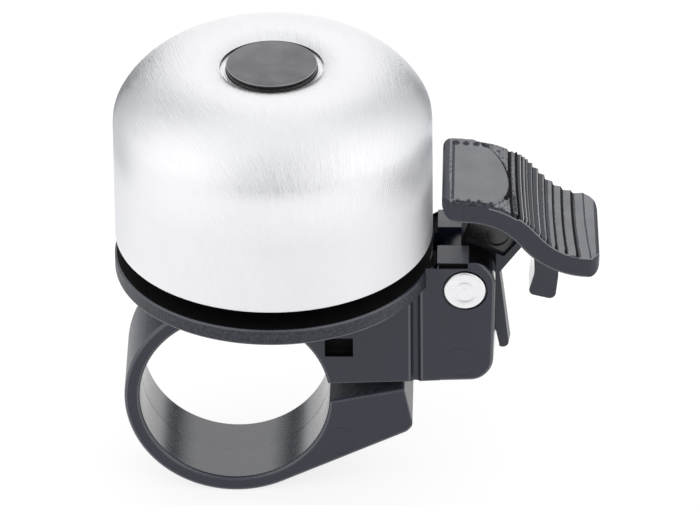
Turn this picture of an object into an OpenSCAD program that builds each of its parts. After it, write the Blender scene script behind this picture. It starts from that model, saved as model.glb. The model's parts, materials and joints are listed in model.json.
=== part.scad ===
// Bicycle bell with a thumb lever, for a round handlebar.
// The origin is the centre of the handlebar bore. +Y runs along the bar and +Z up the bell's axis,
// and the lever is on the +X side.

/* [Handlebar clamp] */
// Diameter of the handlebar that the band closes on
bar_d = 22.2; // [21:0.1:24]
// Wall of the band
band_wall = 1.8; // [1.4:0.1:2.4]
// Width of the bracket along the bar
bracket_w = 12; // [11.6:0.1:15]
// Thickness of the saddle between the top of the bore and the base plate
saddle_t = 3.96; // [3.4:0.02:5]
// Length of the saddle from the bell's axis, away from the lever
saddle_reach = 11.2; // [10:0.1:13]
// Height of the body's underside over the bore's centre
foot_z = 1.62; // [1:0.02:2.2]
// Slope of the body's underside
foot_slope = 1.8; // [0:0.1:3]
// Depth of the jaw's upper face below the bore's centre
jaw_drop = 2.7; // [2.4:0.05:3.2]
// Slope of the jaw's upper face
jaw_slope = 11.4; // [8:0.1:13]
// Slope of the jaw's lower face, where it leaves the band
jaw_flank = 25.4; // [22:0.1:28]
// Jaw beyond the clamp screw's axis
jaw_nose = 3.95; // [3.6:0.05:5]
// Radius of the jaw's lower corner
jaw_corner_r = 1.5; // [0.5:0.1:2]

/* [Clamp screw] */
// Clamp screw's axis beyond the edge of the bore
screw_out = 4.83; // [4.6:0.01:5.4]
// Thread diameter of the clamp screw
screw_d = 4; // [3.5:0.1:4.2]
// Diameter of the clamp screw's head
screw_head_d = 6.4; // [6:0.1:6.8]
// Height of the clamp screw's head
screw_head_h = 2.4; // [1.8:0.1:2.8]
// Jaw thickness between the washer and the split
screw_bridge = 3.7; // [3:0.1:4.2]
// Diameter of the clamp washer
washer_d = 7; // [6.8:0.1:7.2]
// Thickness of the clamp washer
washer_t = 0.6; // [0.4:0.1:1]
// Width across the flats of the square nut
nut_w = 7; // [6.6:0.1:7.2]
// Thickness of the square nut
nut_t = 2.2; // [1.8:0.1:3]
// Body thickness under the square nut
nut_floor = 6; // [4:0.1:7]
// Length of thread beyond the nut
screw_spare = 1.2; // [0.5:0.1:2]
// Width of the screws' slots
slot_w = 1; // [0.8:0.1:1.2]
// Depth of the clamp screw's slot
slot_depth = 1.1; // [0.6:0.1:1.4]

/* [Base plate] */
// Thickness of the base plate
plate_t = 1.98; // [1.6:0.02:2.6]
// Base plate beyond the bell's edge
plate_lip = 0.1; // [0:0.05:0.6]
// Gap between the base plate and the bell's edge
rim_gap = 2.3; // [1.5:0.1:3]
// Diameter of the centre post
post_d = 9; // [8:0.1:10]
// Radius of the fillet cone at the foot of the post
post_foot = 1.2; // [0.6:0.1:2]
// Snap leg's centre beyond the edge of the bore
leg_out = 1.18; // [1:0.02:1.6]
// Width of the snap legs
leg_w = 2.9; // [2.4:0.1:3.2]
// Thickness of the snap legs
leg_t = 0.9; // [0.7:0.05:1]
// Catch of the snap legs
leg_catch = 0.5; // [0.3:0.05:0.6]
// Wall of the bracket outside the snap legs
leg_wall = 0.6; // [0.5:0.05:0.8]
// Depth of the catch windows below the base plate
window_drop = 6.82; // [6:0.02:7.6]
// Height of the catch windows
window_h = 2.5; // [2:0.1:3]
// Diameter of the locating peg
peg_d = 3; // [2.5:0.1:3.5]
// Length of the locating peg
peg_len = 2.2; // [1.5:0.1:2.6]
// Locating peg's axis from the bell's axis, away from the lever
peg_reach = 7.7; // [6:0.1:8]

/* [Bell] */
// Diameter of the bell
bell_d = 37; // [34:0.1:42]
// Bell's axis from the bar's axis, towards the lever
bell_x = 4.73; // [4:0.01:5.5]
// Wall of the bell
bell_wall = 1; // [0.8:0.05:1.2]
// Height of the bell's straight side
side_h = 15.32; // [13:0.02:18]
// Radius at the start of the shoulder
shoulder_r = 3.66; // [3:0.02:4.5]
// Angle through which the start of the shoulder turns
shoulder_turn = 26.8; // [20:0.1:32]
// Radius of the rest of the shoulder, up to the crown
crown_r = 10.4; // [9:0.1:11]
// Radius of the crown's inner slope
dish_r = 6; // [5:0.1:8]
// Diameter of the well at its edge
well_d = 12.2; // [12:0.1:13]
// Narrowing of the well towards its floor, on the radius
well_taper = 0.45; // [0.2:0.05:0.5]
// Depth of the well below the crown
well_depth = 3.8; // [3.7:0.05:4.5]

/* [Bell fastening] */
// Diameter of the cap
cap_d = 10.56; // [10.2:0.02:10.8]
// Depth of the cap's face below the crown
cap_drop = 0.22; // [0:0.02:0.3]
// Thickness of the cap's disc
cap_t = 1.2; // [0.9:0.05:1.3]
// Wall of the cap's clip ring
clip_wall = 0.8; // [0.6:0.05:1]
// Thread diameter of the bell screw
bell_screw_d = 3.5; // [3:0.1:4]
// Diameter of the bell screw's head
bell_head_d = 6.6; // [6:0.1:7]
// Height of the bell screw's head
bell_head_h = 1.6; // [1.2:0.05:1.65]
// Depth of the bell screw's slot
bell_slot_depth = 0.8; // [0.5:0.1:0.9]
// Length of the bell screw under its head
bell_screw_len = 12; // [8:0.5:14]
// Diameter of the bell washer
bell_washer_d = 7; // [6.8:0.1:7.4]
// Thickness of the bell washer
bell_washer_t = 0.5; // [0.3:0.05:0.6]
// Diameter of the bush in the bell's hole
bush_neck_d = 5.8; // [5.4:0.1:6.4]
// Diameter of the bush's flange
bush_flange_d = 9; // [8:0.1:10]
// Thickness of the bush's flange
bush_flange_t = 1.2; // [0.8:0.1:1.6]

/* [Ears and pin] */
// Pin's axis beyond the bell's side
pivot_out = 3.76; // [3.7:0.02:4.4]
// Pin's axis below the bell's edge
pivot_drop = 4.55; // [4.4:0.05:5.2]
// Ears beyond the pin's axis
ear_front = 3.54; // [3.4:0.02:4.2]
// Ears above the pin's axis
ear_rise = 3.39; // [3.2:0.01:3.5]
// Upper corner radius of the ears
ear_top_r = 2.5; // [1.5:0.1:3]
// Lower corner radius of the ears
ear_foot_r = 3; // [2:0.1:4]
// Gap between the ears
ear_gap = 4.1; // [3.6:0.05:4.4]
// Diameter of the pin
pin_d = 3; // [2.6:0.05:3.2]
// Diameter of the pin's head
pin_head_d = 4.66; // [4.4:0.02:5]
// Thickness of the pin's head
pin_head_t = 0.9; // [0.7:0.05:1.1]
// Gap around the pin's head
pin_head_gap = 0.32; // [0.2:0.02:0.5]
// Diameter of the pin's retaining washer
retainer_d = 4.8; // [4.4:0.1:5]
// Thickness of the pin's retaining washer
retainer_t = 0.6; // [0.4:0.05:0.7]
// Pin beyond its retaining washer
pin_tail = 0.2; // [0.1:0.05:0.3]
// Groove centre from the bell's side, towards the clamp
groove_in = 2; // [1.8:0.05:2.4]
// Radius of the groove down the bracket's faces
groove_r = 0.5; // [0.3:0.05:0.7]

/* [Lever] */
// Gap between the lever's nose and the bell
nose_gap = 1.2; // [1:0.05:1.6]
// Height of the pad's upper face over the pin, at the nose
pad_rise = 12.95; // [12:0.05:14]
// Thickness of the pad
pad_t = 2.85; // [2.4:0.05:3.2]
// Width of the pad
pad_w = 14.6; // [12:0.1:17]
// Radius under the pad's nose
nose_r = 2; // [1.4:0.1:2.2]
// Radius over the pad's nose
nose_edge = 0.55; // [0.2:0.05:0.6]
// Radius under the pad's lip
lip_r = 1.4; // [1:0.1:1.8]
// Radius over the pad's lip
lip_edge = 0.4; // [0.2:0.05:0.6]
// Corner radius of the pad, seen from above
pad_corner_r = 1.6; // [1:0.1:2.5]
// Slope of the pad's flat
flat_slope = 5; // [3:0.5:8]
// Length of the pad's flat
flat_len = 3.8; // [3:0.1:5]
// Radius of the pad's brow
brow_r = 10.3; // [9:0.1:12]
// Steepest slope of the pad
steep_slope = 49; // [44:1:52]
// Length of the steep stretch
steep_len = 1.6; // [1:0.1:2.4]
// Radius of the pad's thumb hollow
hollow_r = 7.3; // [6:0.1:9]
// Rise of the pad's lip
lip_slope = 3; // [0:0.5:5]
// Length of the pad's lip
lip_len = 0.65; // [0.6:0.05:1.5]
// Steps across the pad
step_count = 10; // [6:1:12]
// Spacing of the steps along the pad
step_pitch = 1.15; // [0.9:0.05:1.2]
// Run of the slope between two steps
riser_run = 0.45; // [0.2:0.05:0.5]
// Radius of the hub around the pin
hub_r = 3.3; // [3:0.05:3.4]
// Clearance beside the hub
hub_side_gap = 0.2; // [0.1:0.02:0.3]
// Arm's back edge from the pin's axis
arm_back = 0.46; // [0.2:0.02:0.8]
// Length along the pad at which the arm starts
arm_start = 4.7; // [4:0.1:6]
// Length along the pad at which the arm ends
arm_end = 14.4; // [13:0.1:15]
// Thickness of the spring tongue at its tip
tongue_t = 1.32; // [1:0.02:1.8]
// Thickness of the spring tongue at its root
tongue_root_t = 1.7; // [1.5:0.05:2]
// Depth of the spring tongue's root below the pin
tongue_root_z = 1.65; // [1.4:0.05:2]
// Length of the spring tongue below the pin
tongue_len = 10.2; // [9:0.1:10.4]
// Outward lean of the spring tongue
tongue_lean = 7.5; // [6:0.1:9]
// Tongue's outer face from the pin's axis, at the hub
tongue_x = 4; // [3.8:0.05:4.4]
// Width of the finger hook
hook_w = 7; // [5:0.1:9]
// Thickness of the finger hook
hook_t = 2.9; // [2.2:0.1:3.4]
// Finger hook's inner face from the pin's axis
hook_x = 7.95; // [7.5:0.05:8.5]
// Finger hook's lowest corner below the pin's axis
hook_drop = 2.75; // [2.4:0.05:3.2]
// Height of the hook's inner corner over its lowest corner
hook_rise = 0.85; // [0.5:0.05:1.2]
// Inward curl of the hook
hook_curl = 0.55; // [0.3:0.05:0.8]
// Height of the hook's waist over the pin's axis
hook_waist = 1.2; // [0.8:0.05:1.6]
// Radius of the hook's bend
hook_bend_r = 5; // [3:0.5:7]
// Radius of the hook's corners
hook_tip_r = 0.75; // [0.5:0.05:0.9]
// Thickness of the arm's outer rim
arm_rim = 1; // [0.8:0.1:1.4]
// Depth of the arm's side panels
arm_recess = 0.5; // [0.3:0.05:0.7]
// Length of the arm's outer rim below the panels
panel_foot = 2; // [1.6:0.1:2.6]
// Radius of the round mark in the arm's side panels
mark_r = 1.33; // [1:0.01:1.5]
// Round mark's centre beyond the pin's axis
mark_x = 3.71; // [3.4:0.01:4]
// Round mark's centre above the pin's axis
mark_z = 4.63; // [4.4:0.01:4.9]
// Depth of the round mark
mark_depth = 0.25; // [0.1:0.05:0.4]

/* [Hidden] */
// Clearances
running_gap = 0.06;
fixed_gap = 0.03;
thread_gap = 0.05;
hole_gap = 0.15;
pocket_gap = 0.1;
plate_seam = 0.35;
hub_clear = 0.5;
tongue_web = 0.6;
leg_side_gap = 0.2;
bore_spare = 1;
pin_proud = 0.1;
// Radius of the tongue's tip corners as a share of its thickness, just short of a full round
tip_share = 0.48;
cut = 0.02;
far = 60;
fine = 96;

// Sizes that follow from those above
bore_r = bar_d / 2;
band_r = bore_r + band_wall;
seat_z = bore_r + saddle_t;
plate_top = seat_z + plate_t;
rim_z = plate_top + rim_gap;
bell_r = bell_d / 2;
plate_r = bell_r + plate_lip;
well_r = well_d / 2;
screw_x = bore_r + screw_out;
screw_r = screw_d / 2;
nut_z = foot_z + screw_x * tan(foot_slope) + nut_floor;
jaw_top = screw_x * tan(jaw_slope) - jaw_drop;
washer_z = jaw_top - screw_bridge;
washer_r = washer_d / 2;
leg_x = bore_r + leg_out;
leg_y = bracket_w / 2 - leg_wall - pocket_gap - leg_t / 2;
window_z = seat_z - window_drop;
window_w = leg_w + 2 * leg_side_gap;
pivot_x = bell_x + bell_r + pivot_out;
pivot_z = rim_z - pivot_drop;
pin_r = pin_d / 2;
head_r = pin_head_d / 2;
head_seat = bracket_w / 2 - pin_head_t + pin_proud;
ear_top = pivot_z + ear_rise;
ear_right = pivot_x + ear_front;
groove_x = bell_x + bell_r - groove_in;
hub_w = ear_gap - 2 * hub_side_gap;

// Bell profile: centres of its arcs and levels of its top
shoulder_c = [bell_r - shoulder_r, side_h];
crown_c = shoulder_c + (shoulder_r - crown_r) * [cos(shoulder_turn), sin(shoulder_turn)];
crown_x = crown_c[0];
crown_z = crown_c[1] + crown_r;
dish_c = [crown_x, crown_z - dish_r];
floor_z = crown_z - well_depth;
floor_r = well_r - well_taper;
hole_r = bush_neck_d / 2 + fixed_gap;
bush_z = floor_z - bell_wall - bush_flange_t;
post_h = rim_gap + bush_z;
bell_screw_r = bell_screw_d / 2;
bell_head_z = floor_z + bell_washer_t;

nylon = "#303238";
aluminium = "#d4d6d9";
zinc = "#a9acb0";

// Points on an arc about c
function arc(c, r, a0, a1, n = 10) =
    [for (i = [0:n]) c + r * [cos(a0 + (a1 - a0) * i / n), sin(a0 + (a1 - a0) * i / n)]];

function unit(v) = v / norm(v);

// Points that round the corner b = [x, y, radius] between its neighbours a and c
function corner(a, b, c, n) =
    let (p = [b[0], b[1]], u = unit([a[0], a[1]] - p), v = unit([c[0], c[1]] - p))
    let (half = acos(u * v) / 2, m = p + unit(u + v) * b[2] / sin(half))
    let (s = p + u * b[2] / tan(half) - m, e = p + v * b[2] / tan(half) - m)
    [for (i = [0:n]) m + unit(s * (n - i) / n + e * i / n) * b[2]];

// Outline through [x, y, radius] corners, where a radius of 0 is a sharp corner
function rounded(p, n = 8) =
    [for (i = [0:len(p) - 1])
        each p[i][2] == 0 ? [[p[i][0], p[i][1]]]
                          : corner(p[(i + len(p) - 1) % len(p)], p[i], p[(i + 1) % len(p)], n)];

// Upper face of the pad, as [length, radius, turn] runs from the nose; a radius of 0 is straight
pad_runs = [
    [flat_len, 0, 0],
    [brow_r * (steep_slope - flat_slope) * PI / 180, brow_r, -1],
    [steep_len, 0, 0],
    [hollow_r * (steep_slope + lip_slope) * PI / 180, hollow_r, 1],
    [lip_len, 0, 0]
];

// Point and heading after a length s of one run
function along(start, run, s) =
    let (p = [start[0], start[1]], h = start[2])
    run[1] == 0 ? [p[0] + s * cos(h), p[1] + s * sin(h), h]
                : let (g = h + run[2] * s / run[1] * 180 / PI, c = p + run[1] * run[2] * [-sin(h), cos(h)])
                  let (q = c - run[1] * run[2] * [-sin(g), cos(g)])
                  [q[0], q[1], g];

// Point and heading at a length s along the pad's upper face
function pad_at(s, start = [nose_gap - pivot_out, pad_rise, -flat_slope], i = 0) =
    i == len(pad_runs) - 1 || s <= pad_runs[i][0]
        ? along(start, pad_runs[i], s)
        : pad_at(s - pad_runs[i][0], along(start, pad_runs[i], pad_runs[i][0]), i + 1);

// Point below the pad's upper face
function pad_under(s, depth) =
    let (a = pad_at(s))
    [a[0] + depth * sin(a[2]), a[1] - depth * cos(a[2])];

run_len = [for (r = pad_runs) r[0]];
pad_len = run_len * [1, 1, 1, 1, 1];
step_start = pad_len - lip_len - (step_count - 0.5) * step_pitch;

// Height of the pad's underside at x
under_n = 40;
under_points = [for (i = [0:under_n]) pad_under(nose_r + (pad_len - nose_r - lip_r) * i / under_n, pad_t)];
function under_z(x) = lookup(x, under_points);

// Depth of the hook's root in the pad
hook_root = pad_t / 4;

// Solid of an outline drawn in X and Z, of width w about Y = 0
module slab(w) {
    rotate([90, 0, 0])
        linear_extrude(height = w, center = true)
            children();
}

// Turned piece about the bell's axis, with its heights taken from the bell's edge
module on_bell() {
    translate([bell_x, 0, rim_z])
        children();
}

module cross_pin(r, y0, y1) {
    translate([pivot_x, y0, pivot_z])
        rotate([-90, 0, 0])
            cylinder(r = r, h = y1 - y0, $fn = fine);
}

// Wedge between the body and the jaw, widened by extra on both sides
module split_wedge(extra) {
    polygon([
        [0, foot_z + extra],
        [far, foot_z + far * tan(foot_slope) + extra],
        [far, far * tan(jaw_slope) - jaw_drop - extra],
        [0, -jaw_drop - extra]
    ]);
}

module clamp_outline() {
    toe = band_r * [sin(jaw_flank), -cos(jaw_flank)];
    end = [screw_x + jaw_nose, (screw_x + jaw_nose) * tan(jaw_slope) - jaw_drop];
    heel_z = toe[1] + (end[0] - toe[0]) * tan(jaw_flank);
    heel_drop = (end[1] - heel_z) / (cos(jaw_slope) + sin(jaw_slope) * tan(jaw_flank));
    heel = end + heel_drop * [sin(jaw_slope), -cos(jaw_slope)];
    difference() {
        union() {
            difference() {
                circle(r = band_r, $fn = fine);
                split_wedge(band_wall / 2);
            }
            // Jaw under the split
            polygon(rounded([
                [toe[0], toe[1], 0],
                [heel[0], heel[1], jaw_corner_r],
                [end[0], end[1], 0],
                [0, -jaw_drop, 0]
            ]));
            // Saddle, body and ears over the split
            polygon(rounded([
                [0, foot_z, 0],
                [ear_right, foot_z + ear_right * tan(foot_slope), ear_foot_r],
                [ear_right, ear_top, ear_top_r],
                [groove_x, ear_top, 0],
                [groove_x, seat_z, 0],
                [bell_x - saddle_reach, seat_z, 0],
                [bell_x - saddle_reach, foot_z, 0]
            ]));
        }
        circle(r = bore_r, $fn = fine);
    }
}

// Room between the ears for the hub, the arm and the spring tongue
module ear_slot() {
    slab(ear_gap)
        union() {
            translate([pivot_x, pivot_z])
                circle(r = hub_r + hub_clear, $fn = fine);
            translate([pivot_x - hub_r - hub_clear, pivot_z])
                square([far, far]);
            translate([pivot_x - tongue_web, -far])
                square([far, far + pivot_z + cut]);
        }
}

module clamp_bracket() {
    color(nylon)
        difference() {
            slab(bracket_w)
                clamp_outline();
            ear_slot();
            // Seat of the base plate and room for the bell
            translate([bell_x, 0, seat_z])
                cylinder(r = plate_r + plate_seam, h = far, $fn = fine);
            // Pin
            cross_pin(pin_r + fixed_gap, -far, far);
            cross_pin(head_r + pin_head_gap, -far, -head_seat);
            cross_pin(retainer_d / 2 + pin_head_gap, head_seat, far);
            // Clamp screw, from the jaw's recess up to the nut's pocket
            translate([screw_x, 0, washer_z - far])
                cylinder(r = washer_r + hole_gap, h = far, $fn = fine);
            translate([screw_x, 0, washer_z - cut])
                cylinder(r = screw_r + hole_gap, h = nut_z - washer_z + 2 * cut, $fn = fine);
            translate([screw_x - nut_w / 2 - pocket_gap, -nut_w / 2 - pocket_gap, nut_z])
                cube([nut_w + 2 * pocket_gap, nut_w + 2 * pocket_gap, far]);
            // Locating peg
            translate([bell_x - peg_reach, 0, seat_z - peg_len - pocket_gap])
                cylinder(d = peg_d + 2 * thread_gap, h = far, $fn = fine);
            for (side = [-1, 1]) {
                // Pocket and catch window of a snap leg
                translate([leg_x - window_w / 2, side * leg_y - leg_t / 2 - pocket_gap, window_z - window_h])
                    cube([window_w, leg_t + 2 * pocket_gap, far]);
                translate([leg_x - window_w / 2, side * bracket_w / 2 - leg_wall - cut, window_z - window_h])
                    cube([window_w, 2 * leg_wall + 2 * cut, window_h]);
                // Groove down the face
                translate([groove_x, side * bracket_w / 2, -far])
                    cylinder(r = groove_r, h = 2 * far, $fn = fine);
            }
        }
}

// Leg below the base plate, with its catch on the +Y side
module snap_leg() {
    foot = window_z - window_h + pocket_gap;
    translate([leg_x - leg_w / 2, leg_y - leg_t / 2, foot])
        cube([leg_w, leg_t, seat_z - foot + cut]);
    translate([leg_x, leg_y + leg_t / 2, 0])
        rotate([90, 0, 90])
            linear_extrude(height = leg_w, center = true)
                polygon([[-cut, window_z], [leg_catch, window_z], [-cut, foot]]);
}

module base_plate() {
    color(nylon)
        difference() {
            union() {
                translate([bell_x, 0, seat_z])
                    rotate_extrude($fn = fine)
                        polygon([
                            [0, 0],
                            [plate_r, 0],
                            [plate_r, plate_t],
                            [post_d / 2 + post_foot, plate_t],
                            [post_d / 2, plate_t + post_foot],
                            [post_d / 2, plate_t + post_h],
                            [0, plate_t + post_h]
                        ]);
                snap_leg();
                mirror([0, 1, 0])
                    snap_leg();
                translate([bell_x - peg_reach, 0, seat_z - peg_len])
                    cylinder(d = peg_d, h = peg_len + cut, $fn = fine);
            }
            // Thread of the bell screw
            on_bell()
                translate([0, 0, bell_head_z - bell_screw_len - bore_spare])
                    cylinder(r = bell_screw_r + thread_gap, h = far, $fn = fine);
        }
}

module dome() {
    inside = bell_r - bell_wall;
    well_in = well_r + bell_wall;
    dish_end = acos((crown_x - well_r) / dish_r);
    dish_in = acos((crown_x - well_in) / (dish_r - bell_wall));
    color(aluminium)
        on_bell()
            rotate_extrude($fn = 2 * fine)
                polygon(concat(
                    [[inside, 0], [bell_r, 0]],
                    arc(shoulder_c, shoulder_r, 0, shoulder_turn),
                    arc(crown_c, crown_r, shoulder_turn, 90, 16),
                    arc(dish_c, dish_r, 90, 180 - dish_end, 8),
                    [[floor_r, floor_z], [hole_r, floor_z], [hole_r, floor_z - bell_wall]],
                    [[floor_r + bell_wall, floor_z - bell_wall]],
                    arc(dish_c, dish_r - bell_wall, 180 - dish_in, 90, 8),
                    arc(crown_c, crown_r - bell_wall, 90, shoulder_turn, 16),
                    arc(shoulder_c, shoulder_r - bell_wall, shoulder_turn, 0)
                ));
}

module dome_cap() {
    top = crown_z - cap_drop;
    ring_in = bell_head_d / 2 + thread_gap;
    color(nylon)
        on_bell()
            rotate_extrude($fn = fine)
                polygon([
                    [0, top - cap_t],
                    [ring_in, top - cap_t],
                    [ring_in, bell_head_z + pocket_gap],
                    [ring_in + clip_wall, bell_head_z + pocket_gap],
                    [ring_in + clip_wall, top - cap_t],
                    [cap_d / 2, top - cap_t],
                    [cap_d / 2, top],
                    [0, top]
                ]);
}

// Screw standing along +Z with its head's underside at 0 and a slot across the head
module slotted_screw(r, len, head_r, head_h, depth) {
    difference() {
        union() {
            cylinder(r = head_r, h = head_h, $fn = fine);
            translate([0, 0, -len])
                cylinder(r = r, h = len + cut, $fn = fine);
        }
        translate([-far / 2, -slot_w / 2, head_h - depth])
            cube([far, slot_w, far]);
    }
}

module dome_screw() {
    color(zinc)
        on_bell()
            translate([0, 0, bell_head_z])
                slotted_screw(bell_screw_r, bell_screw_len, bell_head_d / 2, bell_head_h, bell_slot_depth);
}

module ring(r_out, r_in, h) {
    difference() {
        cylinder(r = r_out, h = h, $fn = fine);
        translate([0, 0, -cut])
            cylinder(r = r_in, h = h + 2 * cut, $fn = fine);
    }
}

module dome_washer() {
    color(zinc)
        on_bell()
            translate([0, 0, floor_z])
                ring(bell_washer_d / 2, bell_screw_r + thread_gap, bell_washer_t);
}

module dome_bush() {
    color("#3a3a3c")
        on_bell()
            difference() {
                union() {
                    translate([0, 0, bush_z])
                        cylinder(d = bush_flange_d, h = bush_flange_t, $fn = fine);
                    translate([0, 0, bush_z])
                        cylinder(d = bush_neck_d, h = floor_z - bush_z - pocket_gap, $fn = fine);
                }
                translate([0, 0, bush_z - cut])
                    cylinder(r = bell_screw_r + thread_gap, h = far, $fn = fine);
            }
}

// Pad in profile: plain at the nose and underneath, stepped from the brow to the lip
module pad_profile() {
    n = 36;
    first = pad_at(0);
    last = pad_at(pad_len);
    polygon(concat(
        arc(pad_under(nose_edge, nose_edge), nose_edge, 180 + first[2], 90 + first[2], 4),
        [for (i = [1:n]) pad_under(nose_edge + (step_start - nose_edge) * i / n, 0)],
        // Each step is level, and its outer edge lies on the pad's curve
        [for (i = [0:step_count - 2])
            let (a = pad_at(step_start + i * step_pitch), b = pad_at(step_start + (i + 1) * step_pitch))
            each [[a[0] + riser_run, b[1]], [b[0], b[1]]]],
        arc(pad_under(pad_len - lip_edge, lip_edge), lip_edge, 90 + last[2], last[2], 4),
        arc(pad_under(pad_len - lip_r, pad_t - lip_r), lip_r, last[2], last[2] - 90, 6),
        [for (i = [1:n]) pad_under(pad_len - lip_r + (nose_r + lip_r - pad_len) * i / n, pad_t)],
        arc(pad_under(nose_r, pad_t - nose_r), nose_r, 270 + first[2], 180 + first[2], 6)
    ));
}

// Pad seen from above, with its corners rounded
module pad_plan() {
    x0 = pad_under(nose_r, pad_t - nose_r)[0] - nose_r - cut;
    x1 = pad_under(pad_len - lip_r, pad_t - lip_r)[0] + lip_r + cut;
    linear_extrude(height = 2 * far, center = true)
        polygon(rounded([
            [x0, -pad_w / 2, pad_corner_r],
            [x1, -pad_w / 2, pad_corner_r],
            [x1, pad_w / 2, pad_corner_r],
            [x0, pad_w / 2, pad_corner_r]
        ]));
}

// Arm from the hub up into the pad, with a sunk panel and a round mark on both sides
module arm() {
    low = [tongue_x, 0];
    high = pad_under(arm_end, pad_t / 2);
    back = pad_under(arm_start, pad_t / 2);
    d = unit(high - low);
    inward = arm_rim * [-d[1], d[0]];
    foot = hub_r + arm_rim;
    difference() {
        slab(hub_w)
            polygon([low, high, back, [-arm_back, foot], [-arm_back, 0]]);
        for (side = [-1, 1]) {
            translate([0, side * hub_w / 2, 0])
                slab(2 * arm_recess)
                    polygon([low + inward + d * panel_foot, high + inward, back, [0, foot]]);
            translate([0, side * (hub_w / 2 - arm_recess), 0])
                slab(2 * mark_depth)
                    translate([mark_x, mark_z])
                        circle(r = mark_r, $fn = fine);
        }
    }
}

// Springy tongue that hangs from the hub
module tongue_profile() {
    tip_x = tongue_x + tongue_len * tan(tongue_lean);
    tip_r = tip_share * tongue_t;
    polygon(rounded([
        [tongue_x, 0, 0],
        [tip_x, -tongue_len, tip_r],
        [tip_x - tongue_t, -tongue_len, tip_r],
        [tongue_x - tongue_root_t, -tongue_root_z, 0],
        [0, 0, 0]
    ]));
}

// Hook under the pad, where a finger pulls
module hook_profile() {
    outer = hook_x + hook_t;
    polygon(rounded([
        [hook_x, under_z(hook_x) + hook_root, 0],
        [hook_x, hook_waist, hook_bend_r],
        [hook_x - hook_curl, hook_rise - hook_drop, hook_tip_r],
        [outer - hook_curl, -hook_drop, hook_tip_r],
        [outer, hook_waist / 2, hook_bend_r],
        [outer, under_z(outer) + hook_root, 0]
    ]));
}

module thumb_lever() {
    color(nylon)
        translate([pivot_x, 0, pivot_z])
            difference() {
                union() {
                    intersection() {
                        slab(pad_w)
                            pad_profile();
                        pad_plan();
                    }
                    arm();
                    slab(hub_w)
                        circle(r = hub_r, $fn = fine);
                    slab(hub_w)
                        tongue_profile();
                    slab(hook_w)
                        hook_profile();
                }
                rotate([90, 0, 0])
                    cylinder(r = pin_r + running_gap, h = far, center = true, $fn = fine);
            }
}

module hinge_pin() {
    color(aluminium) {
        cross_pin(head_r, -bracket_w / 2 - pin_proud, -head_seat);
        cross_pin(pin_r, -head_seat - cut, head_seat + retainer_t + pin_tail);
    }
}

module pin_retainer() {
    color(zinc)
        translate([pivot_x, head_seat, pivot_z])
            rotate([-90, 0, 0])
                ring(retainer_d / 2, pin_r + fixed_gap, retainer_t);
}

module clamp_screw() {
    under_head = washer_z - washer_t;
    screw_len = nut_z + nut_t + screw_spare - under_head;
    color(zinc)
        translate([screw_x, 0, under_head])
            rotate([180, 0, 0])
                slotted_screw(screw_r, screw_len, screw_head_d / 2, screw_head_h, slot_depth);
}

module clamp_washer() {
    color(zinc)
        translate([screw_x, 0, washer_z - washer_t])
            ring(washer_r, screw_r + hole_gap, washer_t);
}

module clamp_nut() {
    color(zinc)
        translate([screw_x, 0, nut_z])
            difference() {
                translate([-nut_w / 2, -nut_w / 2, 0])
                    cube([nut_w, nut_w, nut_t]);
                translate([0, 0, -cut])
                    cylinder(r = screw_r + thread_gap, h = nut_t + 2 * cut, $fn = fine);
            }
}

clamp_bracket();
base_plate();
dome();
dome_cap();
dome_screw();
dome_washer();
dome_bush();
thumb_lever();
hinge_pin();
pin_retainer();
clamp_screw();
clamp_washer();
clamp_nut();
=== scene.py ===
"""Bicycle bell: the finished surfaces of each piece, and a studio stage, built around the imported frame."""
import json
import math

import bmesh
import bpy
from bpy.props import FloatProperty, FloatVectorProperty, IntProperty, PointerProperty
from mathutils import Matrix, Vector, noise


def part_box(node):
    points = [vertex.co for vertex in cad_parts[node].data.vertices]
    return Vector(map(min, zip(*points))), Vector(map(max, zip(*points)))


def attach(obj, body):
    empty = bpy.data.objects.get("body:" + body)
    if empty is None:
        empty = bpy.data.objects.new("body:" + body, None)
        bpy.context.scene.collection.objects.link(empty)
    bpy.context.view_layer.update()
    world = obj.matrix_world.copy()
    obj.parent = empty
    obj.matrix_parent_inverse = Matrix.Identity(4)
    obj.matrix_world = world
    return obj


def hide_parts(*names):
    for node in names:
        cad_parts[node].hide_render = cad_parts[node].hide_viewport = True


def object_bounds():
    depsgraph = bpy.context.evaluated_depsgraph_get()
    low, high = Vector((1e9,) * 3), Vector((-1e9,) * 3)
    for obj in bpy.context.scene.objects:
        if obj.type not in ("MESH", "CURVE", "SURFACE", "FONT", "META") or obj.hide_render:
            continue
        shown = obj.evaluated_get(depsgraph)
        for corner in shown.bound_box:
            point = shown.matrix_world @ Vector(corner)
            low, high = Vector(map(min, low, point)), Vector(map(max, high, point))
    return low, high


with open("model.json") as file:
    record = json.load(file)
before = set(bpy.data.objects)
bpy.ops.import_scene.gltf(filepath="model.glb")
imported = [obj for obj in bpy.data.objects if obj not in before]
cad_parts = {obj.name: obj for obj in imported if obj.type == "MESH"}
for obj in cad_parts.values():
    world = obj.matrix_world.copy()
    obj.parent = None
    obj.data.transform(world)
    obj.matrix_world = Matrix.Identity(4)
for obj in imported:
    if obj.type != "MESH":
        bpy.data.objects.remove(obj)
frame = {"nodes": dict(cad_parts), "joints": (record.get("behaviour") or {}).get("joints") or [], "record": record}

bl_info = {
    "name": "Bicycle Bell",
    "version": (1, 0, 0),
    "blender": (4, 5, 0),
    "location": "View3D > Sidebar > Bell",
    "description": "Dresses the frame of a handlebar bell with finished pieces and sets up its studio stage",
    "category": "Add Mesh",
}

MM = 0.001
CAD_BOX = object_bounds()

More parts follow.
